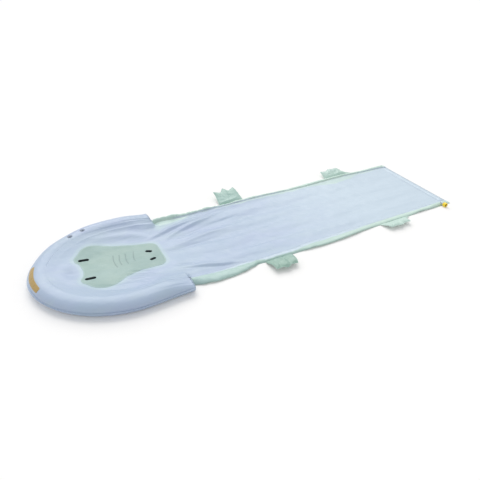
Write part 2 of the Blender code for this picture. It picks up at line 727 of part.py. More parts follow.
def build_coupling(channel, yellow, rubber, soft_clear):
    """A swivel nut held behind the lip of an adapter, whose barbed tail is clamped in the inlet sleeve."""
    x = from_nose(COUPLING_AT)
    back = outer_half(x) + COUPLING_OUTSIDE
    axis = add_axis("hose_axis", (x, -back, NUT_RADIUS + GROUND_CLEARANCE), (math.pi / 2, 0.0, 0.0))
    shoulder_bore = NECK_RADIUS + TURNING_CLEARANCE
    lip = NECK_RADIUS + LIP_GRIP
    lip_back = NUT_SHOULDER + TURNING_CLEARANCE
    seal = lip_back + ADAPTER_LIP
    nut = [(NUT_RADIUS, NUT_LENGTH), (NUT_RADIUS, 0.0), (shoulder_bore, 0.0), (shoulder_bore, NUT_SHOULDER),
           (THREAD_RADIUS, NUT_SHOULDER), (THREAD_RADIUS, NUT_LENGTH)]
    coupling = turned_part("coupling_nut", nut, yellow, axis, closed=True)
    cut(coupling, rib_cutter(axis))
    collar_back = -TURNING_CLEARANCE - COLLAR_LENGTH
    barb_end = collar_back - BARB_LENGTH
    adapter = [(lip, seal), (lip, lip_back), (NECK_RADIUS, lip_back), (NECK_RADIUS, -TURNING_CLEARANCE),
               (COLLAR_RADIUS, -TURNING_CLEARANCE), (COLLAR_RADIUS, collar_back), (BARB_RADIUS, collar_back)]
    for number in range(3):
        start = mix(collar_back, barb_end, 0.25 + 0.25 * number)
        adapter += [(BARB_RADIUS, start), (BARB_RADIUS * 0.88, start)]
        adapter.append((BARB_RADIUS * (0.88 if number == 2 else 1.0), start - BARB_LENGTH * 0.25))
    adapter += [(WATER_BORE_RADIUS, barb_end), (WATER_BORE_RADIUS, seal)]
    turned_part("hose_adapter", adapter, yellow, axis, closed=True)
    washer_back = seal + GAP
    washer_front = washer_back + WASHER_THICKNESS
    rim = THREAD_RADIUS - GAP
    washer = [(rim, washer_front), (rim, washer_back), (WASHER_BORE_RADIUS, washer_back),
              (WASHER_BORE_RADIUS, washer_front)]
    turned_part("hose_washer", washer, rubber, axis, closed=True)
    build_sleeve(collar_back - GAP, axis, channel, soft_clear)


def rib_cutter(axis):
    """Finger scallops around the nut, as one body for each."""
    form = bmesh.new()
    reach = NUT_RADIUS + RIB_RADIUS - RIB_DEPTH
    for number in range(NUT_RIBS):
        turn = Matrix.Rotation(2 * math.pi * number / NUT_RIBS, 4, "Z")
        place = turn @ Matrix.Translation((reach, 0.0, NUT_LENGTH / 2))
        bmesh.ops.create_cone(form, cap_ends=True, segments=8, radius1=RIB_RADIUS, radius2=RIB_RADIUS,
                              depth=NUT_LENGTH * 1.2, matrix=place)
    mesh = bpy.data.meshes.new("nut_scallops")
    form.to_mesh(mesh)
    form.free()
    return add_cutter("nut_scallops", mesh, axis)


def build_sleeve(front, axis, channel, finish):
    """The soft sleeve that leads from the adapter's tail through the channel's outer flank."""
    inner = BARB_RADIUS + GAP
    outer = inner + SLEEVE_WALL
    profile = [(outer, front), (outer, front - SLEEVE_LENGTH), (inner, front - SLEEVE_LENGTH), (inner, front)]
    turned_part("inlet_sleeve", profile, finish, axis, closed=True)
    hole = cylinder_mesh("inlet_hole", outer + GAP, front - SLEEVE_LENGTH - GAP, front, TURN_STEPS)
    cut(channel, add_cutter("inlet_hole", hole, axis))


def build_mat():
    reset_scene()
    film_blue = material("blue_film", (0.56, 0.68, 0.82), 0.34)
    film_green = material("green_film", (0.50, 0.68, 0.62), 0.36)
    soft_clear = material("clear_soft_vinyl", (0.70, 0.76, 0.80), 0.30)
    soft_white = material("white_soft_vinyl", (0.82, 0.84, 0.86), 0.35)
    yellow = material("yellow_plastic", (0.75, 0.55, 0.03), 0.38)
    rubber = material("black_rubber", (0.02, 0.02, 0.02), 0.70)
    build_ground_sheet(film_green)
    build_slide_sheet(film_blue)
    bumper = build_bumper(film_blue)
    build_head_panel(film_green)
    build_channel(1, "right", film_green)
    fed_channel = build_channel(-1, "left", film_green)
    build_feed_channel(film_blue)
    build_feet(film_green)
    for number, angle in enumerate(VALVE_ANGLES, start=1):
        build_valve(number, angle, bumper, soft_clear, soft_white)
    build_coupling(fed_channel, yellow, rubber, soft_clear)


build_mat()
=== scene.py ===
"""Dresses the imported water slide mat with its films, welds, print, air valves and hose coupling.

Lengths are in metres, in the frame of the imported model: +X from the nose to the hose end, +Z up.
Distances "from the nose" are measured along X. The right side is at +Y, the left side at -Y.
"""
import math

import bmesh
import bpy
import numpy as np
from mathutils import Matrix, Vector
from mathutils.bvhtree import BVHTree


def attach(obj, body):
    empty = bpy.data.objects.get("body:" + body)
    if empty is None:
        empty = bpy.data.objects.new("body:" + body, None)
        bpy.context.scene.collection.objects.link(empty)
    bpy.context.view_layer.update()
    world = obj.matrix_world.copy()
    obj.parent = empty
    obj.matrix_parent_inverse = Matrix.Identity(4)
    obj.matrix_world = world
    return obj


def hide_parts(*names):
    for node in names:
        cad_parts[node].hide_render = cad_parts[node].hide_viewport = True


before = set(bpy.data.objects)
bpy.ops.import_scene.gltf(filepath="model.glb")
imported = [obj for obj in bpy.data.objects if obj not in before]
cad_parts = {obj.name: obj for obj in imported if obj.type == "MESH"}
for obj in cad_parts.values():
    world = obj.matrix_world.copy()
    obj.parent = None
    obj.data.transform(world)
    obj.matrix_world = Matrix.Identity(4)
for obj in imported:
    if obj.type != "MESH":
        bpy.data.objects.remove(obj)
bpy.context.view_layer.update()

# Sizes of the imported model
MAT_LENGTH = 3.00
GAP = 0.0003
SHEET_FILM = 0.0005
WELD_WIDTH = 0.008
BUMPER_WIDTH = 0.970
BUMPER_LENGTH = 0.855
NOSE_DEPTH = 0.558
NOSE_ROUNDNESS = 1.9
ARM_INSET = 0.014
ARM_EASE = 0.180
ARM_END_SHARE = 0.60
TUBE_WIDTH = 0.136
TUBE_HEIGHT = 0.088
SEAM_HEIGHT = 0.041
FOOTPRINT = 0.050
BUMPER_FILM = 0.0006
ARM_END_BULGE = 0.012
SHOULDER_WIDTH = 0.780
HIP_WIDTH = 0.766
TAPER_START = 1.75
TAPER_END = 2.30
SHEET_FLARE = 0.012
LIFT_HEIGHT = 0.018
LIFT_LENGTH = 0.25
FLOOR_SLOPE_LENGTH = 1.10
FURROW_PITCH = 0.157
FURROW_HEIGHT = 0.007
FURROW_START = 0.80
FURROW_PEAK = 1.15
FURROW_FADE = 0.30
CHANNEL_WIDTH = 0.036
CHANNEL_HEIGHT = 0.026
CHANNEL_REAR_HEIGHT = 0.016
CHANNEL_EASE_START = 2.35
CHANNEL_TAPER = 0.045
SPRAY_HOLE_RADIUS = 0.0013
SPRAY_PITCH = 0.15
SPRAY_START = 1.05
SPRAY_COUNT = 13
FEED_WIDTH = 0.030
FEED_HEIGHT = 0.004
FEED_INSET = 0.006
HEAD_START = 0.283
HEAD_LENGTH = 0.545
CHEEK_WIDTH = 0.470
EYE_BUMP_SPACING = 0.210
EYE_NOTCH_DEPTH = 0.034
SNOUT_WIDTH = 0.312
SNOUT_TIP_WIDTH = 0.290
FOOT_TILT = 20.0
FRONT_FOOT = {"length": 0.168, "root": 0.200, "palm": 0.180, "thigh": 0.0}
REAR_FOOT = {"length": 0.122, "root": 0.190, "palm": 0.205, "thigh": 0.085}
FEET_AT = {"front_foot_right": 1.51, "front_foot_left": 1.46, "rear_foot_right": 2.48, "rear_foot_left": 2.40}
CLAW_SHARE = 0.27
VALVE_ANGLES = (58.0, 69.5)
FLANGE_RADIUS = 0.0160
FLANGE_THICKNESS = 0.0010
STEM_RADIUS = 0.0072
STEM_LENGTH = 0.0160
STEM_CLEARANCE = 0.0004
LIP_RADIUS = 0.0104
LIP_THICKNESS = 0.0016
VALVE_BORE = 0.0045
FLAP_RADIUS = 0.0062
FLAP_THICKNESS = 0.0008
PLUG_RADIUS = 0.0084
PLUG_THICKNESS = 0.0018
SHANK_TIP_RADIUS = 0.0025
SHANK_DEPTH = 0.0070
STRAP_REACH = 0.0115
STRAP_WIDTH = 0.0055
STRAP_THICKNESS = 0.0008
COUPLING_AT = 2.920
COUPLING_OUTSIDE = 0.008
NUT_RADIUS = 0.0160
NUT_LENGTH = 0.0220
NUT_SHOULDER = 0.0030
NUT_RIBS = 12
THREAD_RADIUS = 0.0133
NECK_RADIUS = 0.0100
ADAPTER_LIP = 0.0025
COLLAR_RADIUS = 0.0125
COLLAR_LENGTH = 0.0040
BARB_RADIUS = 0.0065
BARB_LENGTH = 0.0220
WATER_BORE = 0.0050
WASHER_THICKNESS = 0.0025
WASHER_BORE = 0.0070
TURNING_CLEARANCE = 0.0003
SLEEVE_WALL = 0.0010
SLEEVE_LENGTH = 0.0300
GROUND_CLEARANCE = 0.0005
SIDES = ((1, "right"), (-1, "left"))

# The bumper's skins: length of a quarter of each around the tube, and the slump just before an arm's end
UPPER_ARC = 0.093
LOWER_ARC = 0.080
SLUMP_SHARE = 0.42
SLUMP_LENGTH = 0.12

# The slide sheet leaves the tube's inner shoulder at LINER_LEAVES from the tube's middle and comes down to
# the pool's floor over LINER_REACH, which narrows towards the arms; behind the arms the dish fades out
LINER_LEAVES = 0.034
LINER_REACH = 0.102
LINER_NARROWING = 0.6
NARROWING_START = 0.30
NARROWING_LENGTH = 0.25
DISH_END = 0.16
DISH_FADE = 0.28
EDGE_SINK = 0.0010
EDGE_SINK_REACH = 0.020
LIFT_AT_ARM_END = 0.012

# The channels press up against the arms' ends, and the slide sheet's welds step outwards there
CHANNEL_STAND_OFF = 0.002
STEP_BEFORE_ARM_END = 0.10
STEP_LENGTH = 0.25
CREASE_SPAN = 0.06

# The ground sheet ends under the tube, this far inside the tube's middle
GROUND_TUCK = 0.0275

# Print on the films: its thickness, its lift over the head panel, its widths and half the stripe's length
PRINT_FILM = 0.0001
PRINT_LIFT = 0.0004
EYE_WIDTH = 0.0240
NOSTRIL_WIDTH = 0.0220
WRINKLE_WIDTH = 0.0050
STRIPE_HALF = 0.108

# Along the mat, from the nose: how full each channel stands, and how far its outer border wanders out
CHANNEL_FULLNESS = {
    "right": ((0.86, 1.35), (1.00, 1.30), (1.14, 0.80), (1.28, 0.80), (1.44, 0.48), (1.70, 0.55),
              (1.82, 0.45), (1.96, 0.40), (2.10, 0.45), (2.22, 0.55), (2.38, 0.60), (2.56, 0.70),
              (2.72, 0.55), (3.00, 0.9)),
    "left": ((0.86, 0.60), (1.00, 0.42), (1.12, 0.55), (1.26, 0.38), (1.40, 0.36), (1.66, 0.34),
             (1.80, 0.24), (2.00, 0.30), (2.20, 0.24), (2.60, 0.30), (2.78, 0.40), (2.88, 1.0), (3.00, 1.0)),
}
BORDER_WANDER = {
    "right": ((0.86, 0.0), (1.10, 0.006), (1.30, -0.004), (1.64, 0.008), (1.90, -0.003), (2.20, 0.007),
              (2.65, -0.003), (3.00, 0.0)),
    "left": ((0.86, 0.0), (0.95, 0.026), (1.02, 0.038), (1.12, 0.036), (1.20, 0.028), (1.27, 0.010),
             (1.32, -0.005), (1.38, 0.0), (1.62, 0.003), (1.70, 0.011), (1.82, 0.019), (1.96, 0.018),
             (2.06, 0.012), (2.16, 0.004), (2.26, 0.0), (2.58, 0.0), (2.70, -0.003), (2.85, 0.0),
             (3.00, 0.0)),
}

# How far over each channel the runway's blue reaches, as a share of the way over it
BLUE_BORDER = {
    "right": ((0.86, -0.20), (1.10, 0.10), (1.40, 0.16), (1.80, 0.05), (2.30, -0.10), (2.60, 0.0),
              (3.00, 0.20)),
    "left": ((0.86, 0.06), (1.00, 0.10), (1.30, 0.30), (1.40, 0.62), (1.60, 0.62), (1.72, 0.30), (2.10, 0.36),
             (2.30, 0.05), (2.54, 0.05), (2.66, 0.36), (2.80, 0.30), (3.00, 0.30)),
}

# How far the far channel's pale green reaches over the slide sheet
GREEN_EDGE = ((0.86, 0.0), (0.90, 0.050), (1.00, 0.045), (1.15, 0.012), (1.40, 0.010), (1.60, 0.022),
              (1.80, 0.022), (2.20, 0.026), (2.38, 0.062), (2.52, 0.062), (2.66, 0.028), (2.85, 0.015),
              (3.00, 0.0))

# How high the far channel pulls up the slide sheet's edge, and how high the near channel's border lies
FAR_LIFT_START = 0.861
FAR_EDGE_LIFT = ((0.86, 0.002), (0.94, 0.014), (1.25, 0.022), (1.70, 0.023), (2.10, 0.014), (2.50, 0.020),
                 (2.80, 0.010), (3.00, 0.002))
NEAR_BORDER_LIFT = ((0.86, 0.004), (0.98, 0.010), (1.12, 0.006), (1.24, 0.009), (1.34, 0.0), (1.60, 0.0),
                    (1.72, 0.010), (1.86, 0.007), (2.02, 0.011), (2.18, 0.006), (2.28, 0.0), (2.58, 0.0),
                    (2.70, 0.009), (2.82, 0.004), (2.88, 0.0), (3.00, 0.0))

# Long folds of the slide sheet: height, width, and the places (from the nose, across) that each runs through
FOLD_STRENGTH = 1.7
FOLDS = (
    (0.0060, 0.016, ((0.78, 0.17), (0.87, 0.21), (0.95, 0.235), (1.05, 0.26), (1.16, 0.28), (1.43, 0.34))),
    (0.0062, 0.015, ((0.88, 0.125), (0.96, 0.17), (1.01, 0.19), (1.13, 0.23), (1.23, 0.255), (1.39, 0.30))),
    (0.0040, 0.018, ((0.82, 0.034), (0.89, 0.02), (1.03, 0.05), (1.19, 0.08), (1.39, 0.095))),
    (-0.0030, 0.015, ((0.80, 0.155), (0.94, 0.20), (1.00, 0.225), (1.12, 0.265))),
    (-0.0042, 0.014, ((0.83, -0.009), (0.91, -0.02), (1.00, -0.006), (1.19, 0.0), (1.33, 0.012),
                      (1.63, -0.02))),
    (-0.0045, 0.014, ((0.91, 0.108), (1.08, 0.136), (1.27, 0.176), (1.45, 0.20))),
    (-0.0035, 0.016, ((1.32, -0.162), (1.40, -0.186), (1.52, -0.184), (1.76, -0.183), (1.86, -0.15))),
    (-0.0030, 0.010, ((0.84, -0.17), (0.91, -0.196), (0.98, -0.21))),
    (0.0046, 0.018, ((0.84, -0.205), (0.96, -0.238), (1.08, -0.272), (1.16, -0.29), (1.30, -0.335))),
    (-0.0030, 0.014, ((0.84, -0.232), (0.96, -0.262), (1.08, -0.296), (1.16, -0.314), (1.28, -0.335))),
    (0.0030, 0.018, ((0.38, -0.225), (0.45, -0.238), (0.53, -0.246), (0.66, -0.285))),
    (-0.0040, 0.018, ((0.37, -0.262), (0.50, -0.300), (0.60, -0.312), (0.68, -0.315))),
    (0.0030, 0.008, ((0.56, -0.108), (0.64, -0.138), (0.71, -0.168))),
    (-0.0032, 0.008, ((0.54, -0.142), (0.62, -0.178), (0.72, -0.212))),
    (0.0032, 0.008, ((0.53, -0.176), (0.60, -0.205), (0.66, -0.228))),
    (-0.0034, 0.007, ((0.60, -0.262), (0.65, -0.280), (0.69, -0.298))),
    (0.0032, 0.007, ((0.60, -0.280), (0.65, -0.300), (0.69, -0.312))),
    (0.0040, 0.030, ((0.19, 0.06), (0.24, 0.068), (0.29, 0.074))),
    (-0.0040, 0.026, ((0.19, 0.0), (0.24, -0.014), (0.29, -0.024))),
    (0.0034, 0.024, ((0.19, -0.076), (0.24, -0.09), (0.28, -0.1))),
    (0.0050, 0.030, ((0.41, 0.285), (0.54, 0.285), (0.70, 0.25), (0.80, 0.19))),
)

# Colours as they look, in 0 to 255
BLUE = (166, 184, 204)
LILAC = (168, 183, 207)
MINT_BLUE = (170, 188, 202)
# PALE_BLUE: the channels' blue print, and the tint of the painted sheen towards the hose end
PALE_BLUE = (192, 208, 220)
GREEN = (156, 187, 176)
PALE_GREEN = (168, 196, 188)
# MILKY_GREEN: the far green edge, the tint of painted light on the channels, and the rear feet's lit film
MILKY_GREEN = (196, 219, 208)
HEAD_GREEN = (132, 161, 156)
HALO = (176, 199, 204)


def from_nose(distance):
    return distance - MAT_LENGTH / 2


def smooth(value):
    value = np.clip(value, 0.0, 1.0)
    return value * value * (3 - 2 * value)


def mix(start, end, share):
    return start + (end - start) * share


ARM_END = from_nose(BUMPER_LENGTH)
REAR = from_nose(MAT_LENGTH)
TUBE_HALF = TUBE_WIDTH / 2
TUBE_APART = BUMPER_WIDTH / 2 - TUBE_HALF - WELD_WIDTH
UPPER_SEAM = SEAM_HEIGHT + GAP / 2 + BUMPER_FILM
LOWER_SEAM = SEAM_HEIGHT - GAP / 2 - BUMPER_FILM
SHEET_ON_SEAM = UPPER_SEAM + GAP
SHEET_ON_GROUND = SHEET_FILM + GAP
BEHIND_ARMS = ARM_END + ARM_END_BULGE + 2 * BUMPER_FILM + GAP
CHANNEL_START = BEHIND_ARMS + SHEET_FLARE
TIGHT_START = BEHIND_ARMS + CHANNEL_STAND_OFF
FLAT_REAR = REAR - FEED_INSET - 2 * WELD_WIDTH - FEED_WIDTH - 2 * GAP


def eased(x, knots):
    """A value at x along the mat that runs smoothly through knots of (from the nose, value)."""
    places = np.array([from_nose(knot[0]) for knot in knots])
    values = np.array([knot[1] for knot in knots])
    start = np.clip(np.searchsorted(places, x) - 1, 0, len(places) - 2)
    share = smooth((x - places[start]) / (places[start + 1] - places[start]))
    return mix(values[start], values[start + 1], share)


def to_segment(x, y, start, end):
    """Distance of each place to a straight line between two points, and the nearest point's share of it."""
    step = end - start
    size = max(float(step @ step), 1e-12)
    share = np.clip(((x - start[0]) * step[0] + (y - start[1]) * step[1]) / size, 0.0, 1.0)
    return np.hypot(x - start[0] - share * step[0], y - start[1] - share * step[1]), share


# Small ripples and creases of film

def ripples(along, across, length, seed):
    """Smooth random ripples of about one length, around 0 and mostly within -1 to 1."""
    chance = np.random.default_rng(seed)
    total = 0.0
    for turn, size, phase in chance.random((12, 3)):
        turn = turn * 2 * math.pi
        wave = 2 * math.pi * (0.65 + 0.9 * size) / length
        total = total + np.sin(wave * (along * math.cos(turn) + across * math.sin(turn)) + 6.3 * phase)
    return total / 4.2


def crumple(along, across, length, seed):
    """A net of sharp little ridges, as on crumpled film, from 0 to 1."""
    first = np.exp(-(ripples(along, across, length=length, seed=seed) / 0.22) ** 2)
    second = np.exp(-(ripples(along, across, length=length * 0.62, seed=seed + 7) / 0.20) ** 2)
    return 0.6 * first + 0.4 * second


def seam_puckers(along, away, pitch, reach, seed):
    """Short creases square to a weld, deepest beside it, from -1 in a crease to 0 between them."""
    wander = ripples(along, away * 0.3, length=7 * pitch, seed=seed)
    strength = np.clip(0.5 + 0.6 * ripples(along, away * 0.1, length=5 * pitch, seed=seed + 1), 0.0, 1.0)
    wave = np.sin(math.pi * along / pitch + 1.7 * wander)
    return -strength * np.exp(-(wave / 0.42) ** 2) * np.exp(-away / reach)


# Meshes and pieces

def new_object(name, data):
    item = bpy.data.objects.new(name, data)
    bpy.context.scene.collection.objects.link(item)
    return item


def add_piece(name, mesh, finish, body):
    """A smooth piece of one finish that rides on a body."""
    piece = new_object(name, mesh)
    piece.data.materials.clear()
    piece.data.materials.append(finish)
    for face in mesh.polygons:
        face.use_smooth = True
    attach(piece, body)
    return piece


def grid_mesh(name, points, flip=False, around=False):
    """A surface through an array of points (rows, columns, 3); around closes each row on itself."""
    rows, columns = points.shape[:2]
    last = columns if around else columns - 1
    faces = []
    for row in range(rows - 1):
        for column in range(last):
            beside = (column + 1) % columns
            face = (row * columns + column, row * columns + beside,
                    (row + 1) * columns + beside, (row + 1) * columns + column)
            faces.append(face[::-1] if flip else face)
    mesh = bpy.data.meshes.new(name)
    mesh.from_pydata(points.reshape(-1, 3).tolist(), [], faces)
    return mesh


def tidy_mesh(mesh, distance=0.00002, outwards=False):
    """Merges doubles, and turns all faces outwards where the mesh is closed."""
    form = bmesh.new()
    form.from_mesh(mesh)
    bmesh.ops.remove_doubles(form, verts=form.verts, dist=distance)
    if outwards:
        bmesh.ops.recalc_face_normals(form, faces=form.faces)
    form.to_mesh(mesh)
    form.free()
    return mesh


def face_up(mesh):
    if sum(face.normal.z for face in mesh.polygons) < 0:
        mesh.flip_normals()


def give_film(piece, film, outwards=False):
    """Gives an open surface its film thickness, with even walls."""
    wall = piece.modifiers.new("film", "SOLIDIFY")
    wall.thickness = film
    wall.offset = 1.0 if outwards else -1.0
    wall.use_even_offset = True
    wall.use_rim = True
    return wall


def evaluated_mesh(piece):
    """The mesh that a piece's modifiers make."""
    depsgraph = bpy.context.evaluated_depsgraph_get()
    return bpy.data.meshes.new_from_object(piece.evaluated_get(depsgraph))


def ring_points(radius, height, turns):
    return np.stack([radius * np.cos(turns), radius * np.sin(turns), np.full(len(turns), height)], axis=1)


def paint(mesh, name, values):
    """Keeps one number for each vertex under a name that a material can read."""
    layer = mesh.attributes.new(name, "FLOAT", "POINT")
    layer.data.foreach_set("value", np.asarray(values, dtype=np.float32).ravel())


TURN_STEPS = 72


def turned_mesh(name, profile, closed=True):
    """A body turned about Z; the profile gives (radius, height) down its outer side and round."""
    turns = np.linspace(0.0, 2 * math.pi, TURN_STEPS, endpoint=False)
    rows = [ring_points(radius, height, turns) for radius, height in profile]
    if closed:
        rows.append(rows[0])
    mesh = grid_mesh(name, np.array(rows), around=True)
    return tidy_mesh(mesh, outwards=True)


def rounded(profile, radius, closed=True):
    """The profile with each corner cut by two short steps, so that light catches the edge."""
    count = len(profile)
    result = []
    for k, corner in enumerate(profile):
        if not closed and k in (0, count - 1):
            result.append(corner)
            continue
        here = Vector(corner)
        before = Vector(profile[k - 1]) - here
        after = Vector(profile[(k + 1) % count]) - here
        reach = min(radius, before.length * 0.45, after.length * 0.45)
        first = here + before.normalized() * reach
        second = here + after.normalized() * reach
        middle = here * 0.5 + (first + second) * 0.25
        result += [tuple(first), tuple(middle), tuple(second)]
    return result


def bore_through(piece, drills):
    """Cuts holes for which each drill is (centre, direction, radius, half length)."""
    form = bmesh.new()
    for centre, direction, radius, half in drills:
        turn = Vector((0, 0, 1)).rotation_difference(Vector(direction)).to_matrix().to_4x4()
        bmesh.ops.create_cone(form, cap_ends=True, segments=24, radius1=radius, radius2=radius,
                              depth=2 * half, matrix=Matrix.Translation(centre) @ turn)
    mesh = bpy.data.meshes.new("drills")
    form.to_mesh(mesh)
    form.free()
    cutter = new_object("drills", mesh)
    hole = piece.modifiers.new("holes", "BOOLEAN")
    hole.operation = "DIFFERENCE"
    hole.solver = "EXACT"
    hole.object = cutter
    pierced = evaluated_mesh(piece)
    whole = piece.data
    piece.modifiers.clear()
    piece.data = pierced
    bpy.data.meshes.remove(whole)
    bpy.data.objects.remove(cutter)


def add_print(name, mesh, finish):
    mark = add_piece("print_" + name, mesh, finish, "mat")
    give_film(mark, PRINT_FILM, outwards=True)


def add_hardware(name, mesh, axis, finish, body):
    """A moulded piece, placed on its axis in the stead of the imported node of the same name."""
    mesh.transform(axis)
    piece = add_piece(name + "_finished", mesh, finish, body)
    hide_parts(name)


def add_turned(name, profile, radius, axis, finish, body, closed=True):
    """A turned piece of hardware, its corners rounded by the radius."""
    mesh = turned_mesh(name, rounded(profile, radius, closed), closed)
    add_hardware(name, mesh, axis, finish, body)


# Materials

def linear(color):
    """A colour given in 0 to 255 as linear light, as a shader takes it."""
    parts = [part / 255 for part in color]
    return (*(part / 12.92 if part <= 0.04045 else ((part + 0.055) / 1.055) ** 2.4 for part in parts), 1.0)


def join(tree, links):
    """Links sockets, each link given as (node, output, node, input)."""
    for source, output, target, entry in links:
        tree.links.new(source.outputs[output], target.inputs[entry])


def add_node(tree, kind, values=None, **settings):
    node = tree.nodes.new(kind)
    for name, value in settings.items():
        setattr(node, name, value)
    for name, value in (values or {}).items():
        node.inputs[name].default_value = value
    return node


def start_material(name, roughness, coat=0.0):
    """A new material with its tree, its shader and the socket that gives a place on the object."""
    finish = bpy.data.materials.new(name)
    finish.use_nodes = True
    tree = finish.node_tree
    shader = tree.nodes["Principled BSDF"]
    shader.inputs["Roughness"].default_value = roughness
    shader.inputs["Coat Weight"].default_value = coat
    shader.inputs["Coat Roughness"].default_value = 0.18
    place = tree.nodes.new("ShaderNodeTexCoord")
    return finish, tree, shader, place.outputs["Object"]


def noise_value(tree, place, scale, detail=3.0, stretch=None):
    """Noise from 0 to 1, with its grain drawn out by the stretch along X, Y and Z."""
    if stretch:
        turned = add_node(tree, "ShaderNodeMapping")
        turned.inputs["Scale"].default_value = stretch
        tree.links.new(place, turned.inputs["Vector"])
        place = turned.outputs["Vector"]
    grain = add_node(tree, "ShaderNodeTexNoise", {"Scale": scale, "Detail": detail, "Roughness": 0.55})
    tree.links.new(place, grain.inputs["Vector"])
    return grain.outputs["Fac"]


def graded_noise(tree, place, scale, detail, low, high, start=0.35, end=0.65, stretch=None):
    """Noise spread so that it gives low up to start, and high from end on."""
    spread = add_node(tree, "ShaderNodeMapRange", {"From Min": start, "From Max": end,
                                                   "To Min": low, "To Max": high})
    tree.links.new(noise_value(tree, place, scale, detail, stretch), spread.inputs["Value"])
    return spread.outputs["Result"]


def vary_gloss(tree, shader, place, scale, detail, low, high):
    gloss = graded_noise(tree, place, scale, detail, low, high)
    tree.links.new(gloss, shader.inputs["Roughness"])


def blended(tree, share, first, second):
    """A colour between two, each a colour or a socket."""
    blend = tree.nodes.new("ShaderNodeMix")
    blend.data_type = "RGBA"
    tree.links.new(share, blend.inputs[0])
    for socket, value in ((blend.inputs[6], first), (blend.inputs[7], second)):
        if isinstance(value, bpy.types.NodeSocket):
            tree.links.new(value, socket)
        else:
            socket.default_value = linear(value)
    return blend.outputs[2]


def add_bump(tree, shader, layers):
    """Fine relief from several (value, depth in metres) layers, one over the other."""
    normal = None
    for value, depth in layers:
        bump = add_node(tree, "ShaderNodeBump", {"Strength": 1.0, "Distance": depth})
        tree.links.new(value, bump.inputs["Height"])
        if normal:
            tree.links.new(normal, bump.inputs["Normal"])
        normal = bump.outputs["Normal"]
    tree.links.new(normal, shader.inputs["Normal"])


def film_material(name, main, warm, cool, roughness, painted=()):
    """Satin vinyl film: a soft drift of tone, faint handling creases and an orange-peel grain."""
    finish, tree, shader, place = start_material(name, roughness, coat=0.12)
    drift = graded_noise(tree, place, scale=2.3, detail=2.0, low=0.0, high=1.0, start=0.38, end=0.62,
                         stretch=(1.0, 1.8, 1.0))
    cloud = graded_noise(tree, place, scale=7.0, detail=3.0, low=0.0, high=0.8, start=0.45, end=0.75,
                         stretch=(0.6, 1.6, 1.0))
    color = blended(tree, drift, main, warm)
    color = blended(tree, cloud, color, cool)
    for layer, tint in painted:
        share = add_node(tree, "ShaderNodeAttribute", attribute_name=layer)
        color = blended(tree, share.outputs["Fac"], color, tint)
    tree.links.new(color, shader.inputs["Base Color"])
    vary_gloss(tree, shader, place, scale=16.0, detail=4.0, low=roughness - 0.05, high=roughness + 0.07)
    creases = noise_value(tree, place, scale=11.0, detail=3.0, stretch=(0.55, 1.4, 1.0))
    peel = noise_value(tree, place, scale=480.0, detail=2.0)
    add_bump(tree, shader, ((creases, 0.0045), (peel, 0.000015)))
    return finish


def moulded_material(name, main, worn, roughness, coat=0.0):
    """Moulded plastic or rubber: a little tone drift, rubbed places and a fine mould grain."""
    finish, tree, shader, place = start_material(name, roughness, coat)
    rubbed = graded_noise(tree, place, scale=130.0, detail=4.0, low=0.0, high=0.7, start=0.52, end=0.72)
    tree.links.new(blended(tree, rubbed, main, worn), shader.inputs["Base Color"])
    vary_gloss(tree, shader, place, scale=260.0, detail=3.0, low=roughness - 0.07, high=roughness + 0.09)
    grain = noise_value(tree, place, scale=900.0, detail=2.0)
    add_bump(tree, shader, ((grain, 0.00005),))
    return finish


def print_material(name, main, fade_and_painted_light, roughness, gloss_share=0.5):
    """A printed ink layer: dense and a little uneven."""
    finish, tree, shader, place = start_material(name, roughness)
    shader.inputs["Specular IOR Level"].default_value = gloss_share
    thin = graded_noise(tree, place, scale=90.0, detail=4.0, low=0.0, high=0.6, start=0.5, end=0.75)
    tree.links.new(blended(tree, thin, main, fade_and_painted_light), shader.inputs["Base Color"])
    vary_gloss(tree, shader, place, scale=60.0, detail=3.0, low=roughness - 0.05, high=roughness + 0.1)
    peel = noise_value(tree, place, scale=700.0, detail=2.0)
    add_bump(tree, shader, ((peel, 0.00008),))
    return finish


# Painted light: the films' second painted layer gives a paler tint towards the hose end for the brighter
# sheen there, and over the far channel against its shade
BLUE_FILM = film_material("blue_film", BLUE, LILAC, MINT_BLUE, roughness=0.36,
                          painted=(("halo", HALO), ("fade_and_painted_light", PALE_BLUE), ("green_edge", MILKY_GREEN)))
CHANNEL_FILM = film_material("channel_green_film", PALE_GREEN, (172, 198, 196), (176, 202, 194),
                             roughness=0.36, painted=(("fade_and_painted_light", MILKY_GREEN), ("blue_border", PALE_BLUE)))
# Painted light and shade on the feet: each foot has its own copy of the green film. The near front foot is
# painted darker for the shade it stands in, the far front foot a little lighter, and the rear feet much
# lighter for the light they catch
FRONT_FOOT_PAINTED_LIGHT_FILM = film_material("front_foot_film", (162, 193, 181), PALE_GREEN, (164, 194, 186),
                                roughness=0.36)
NEAR_FOOT_PAINTED_SHADE_FILM = film_material("near_foot_film_painted_shade", (142, 174, 159), (150, 181, 168), (146, 177, 166),
                               roughness=0.36)
REAR_FOOT_PAINTED_LIGHT_FILM = film_material("rear_foot_film", MILKY_GREEN, (180, 207, 196), (188, 210, 205),
                               roughness=0.36)
HEAD_FILM = film_material("head_green_film", HEAD_GREEN, (144, 171, 163), (143, 172, 168), roughness=0.38,
                          painted=(("border", (154, 181, 177)),))
GROUND_FILM = film_material("ground_green_film", (152, 182, 170), GREEN, PALE_GREEN, roughness=0.42)
WELD_BLUE = film_material("blue_weld", (176, 194, 212), BLUE, LILAC, roughness=0.32)
WELD_GREEN = film_material("green_weld", (176, 203, 193), GREEN, PALE_GREEN, roughness=0.32)
BLACK_PRINT = print_material("black_print", (6, 17, 22), (10, 24, 29), roughness=0.55, gloss_share=0.06)
GREY_PRINT = print_material("grey_print", (126, 150, 146), (142, 165, 160), roughness=0.40)
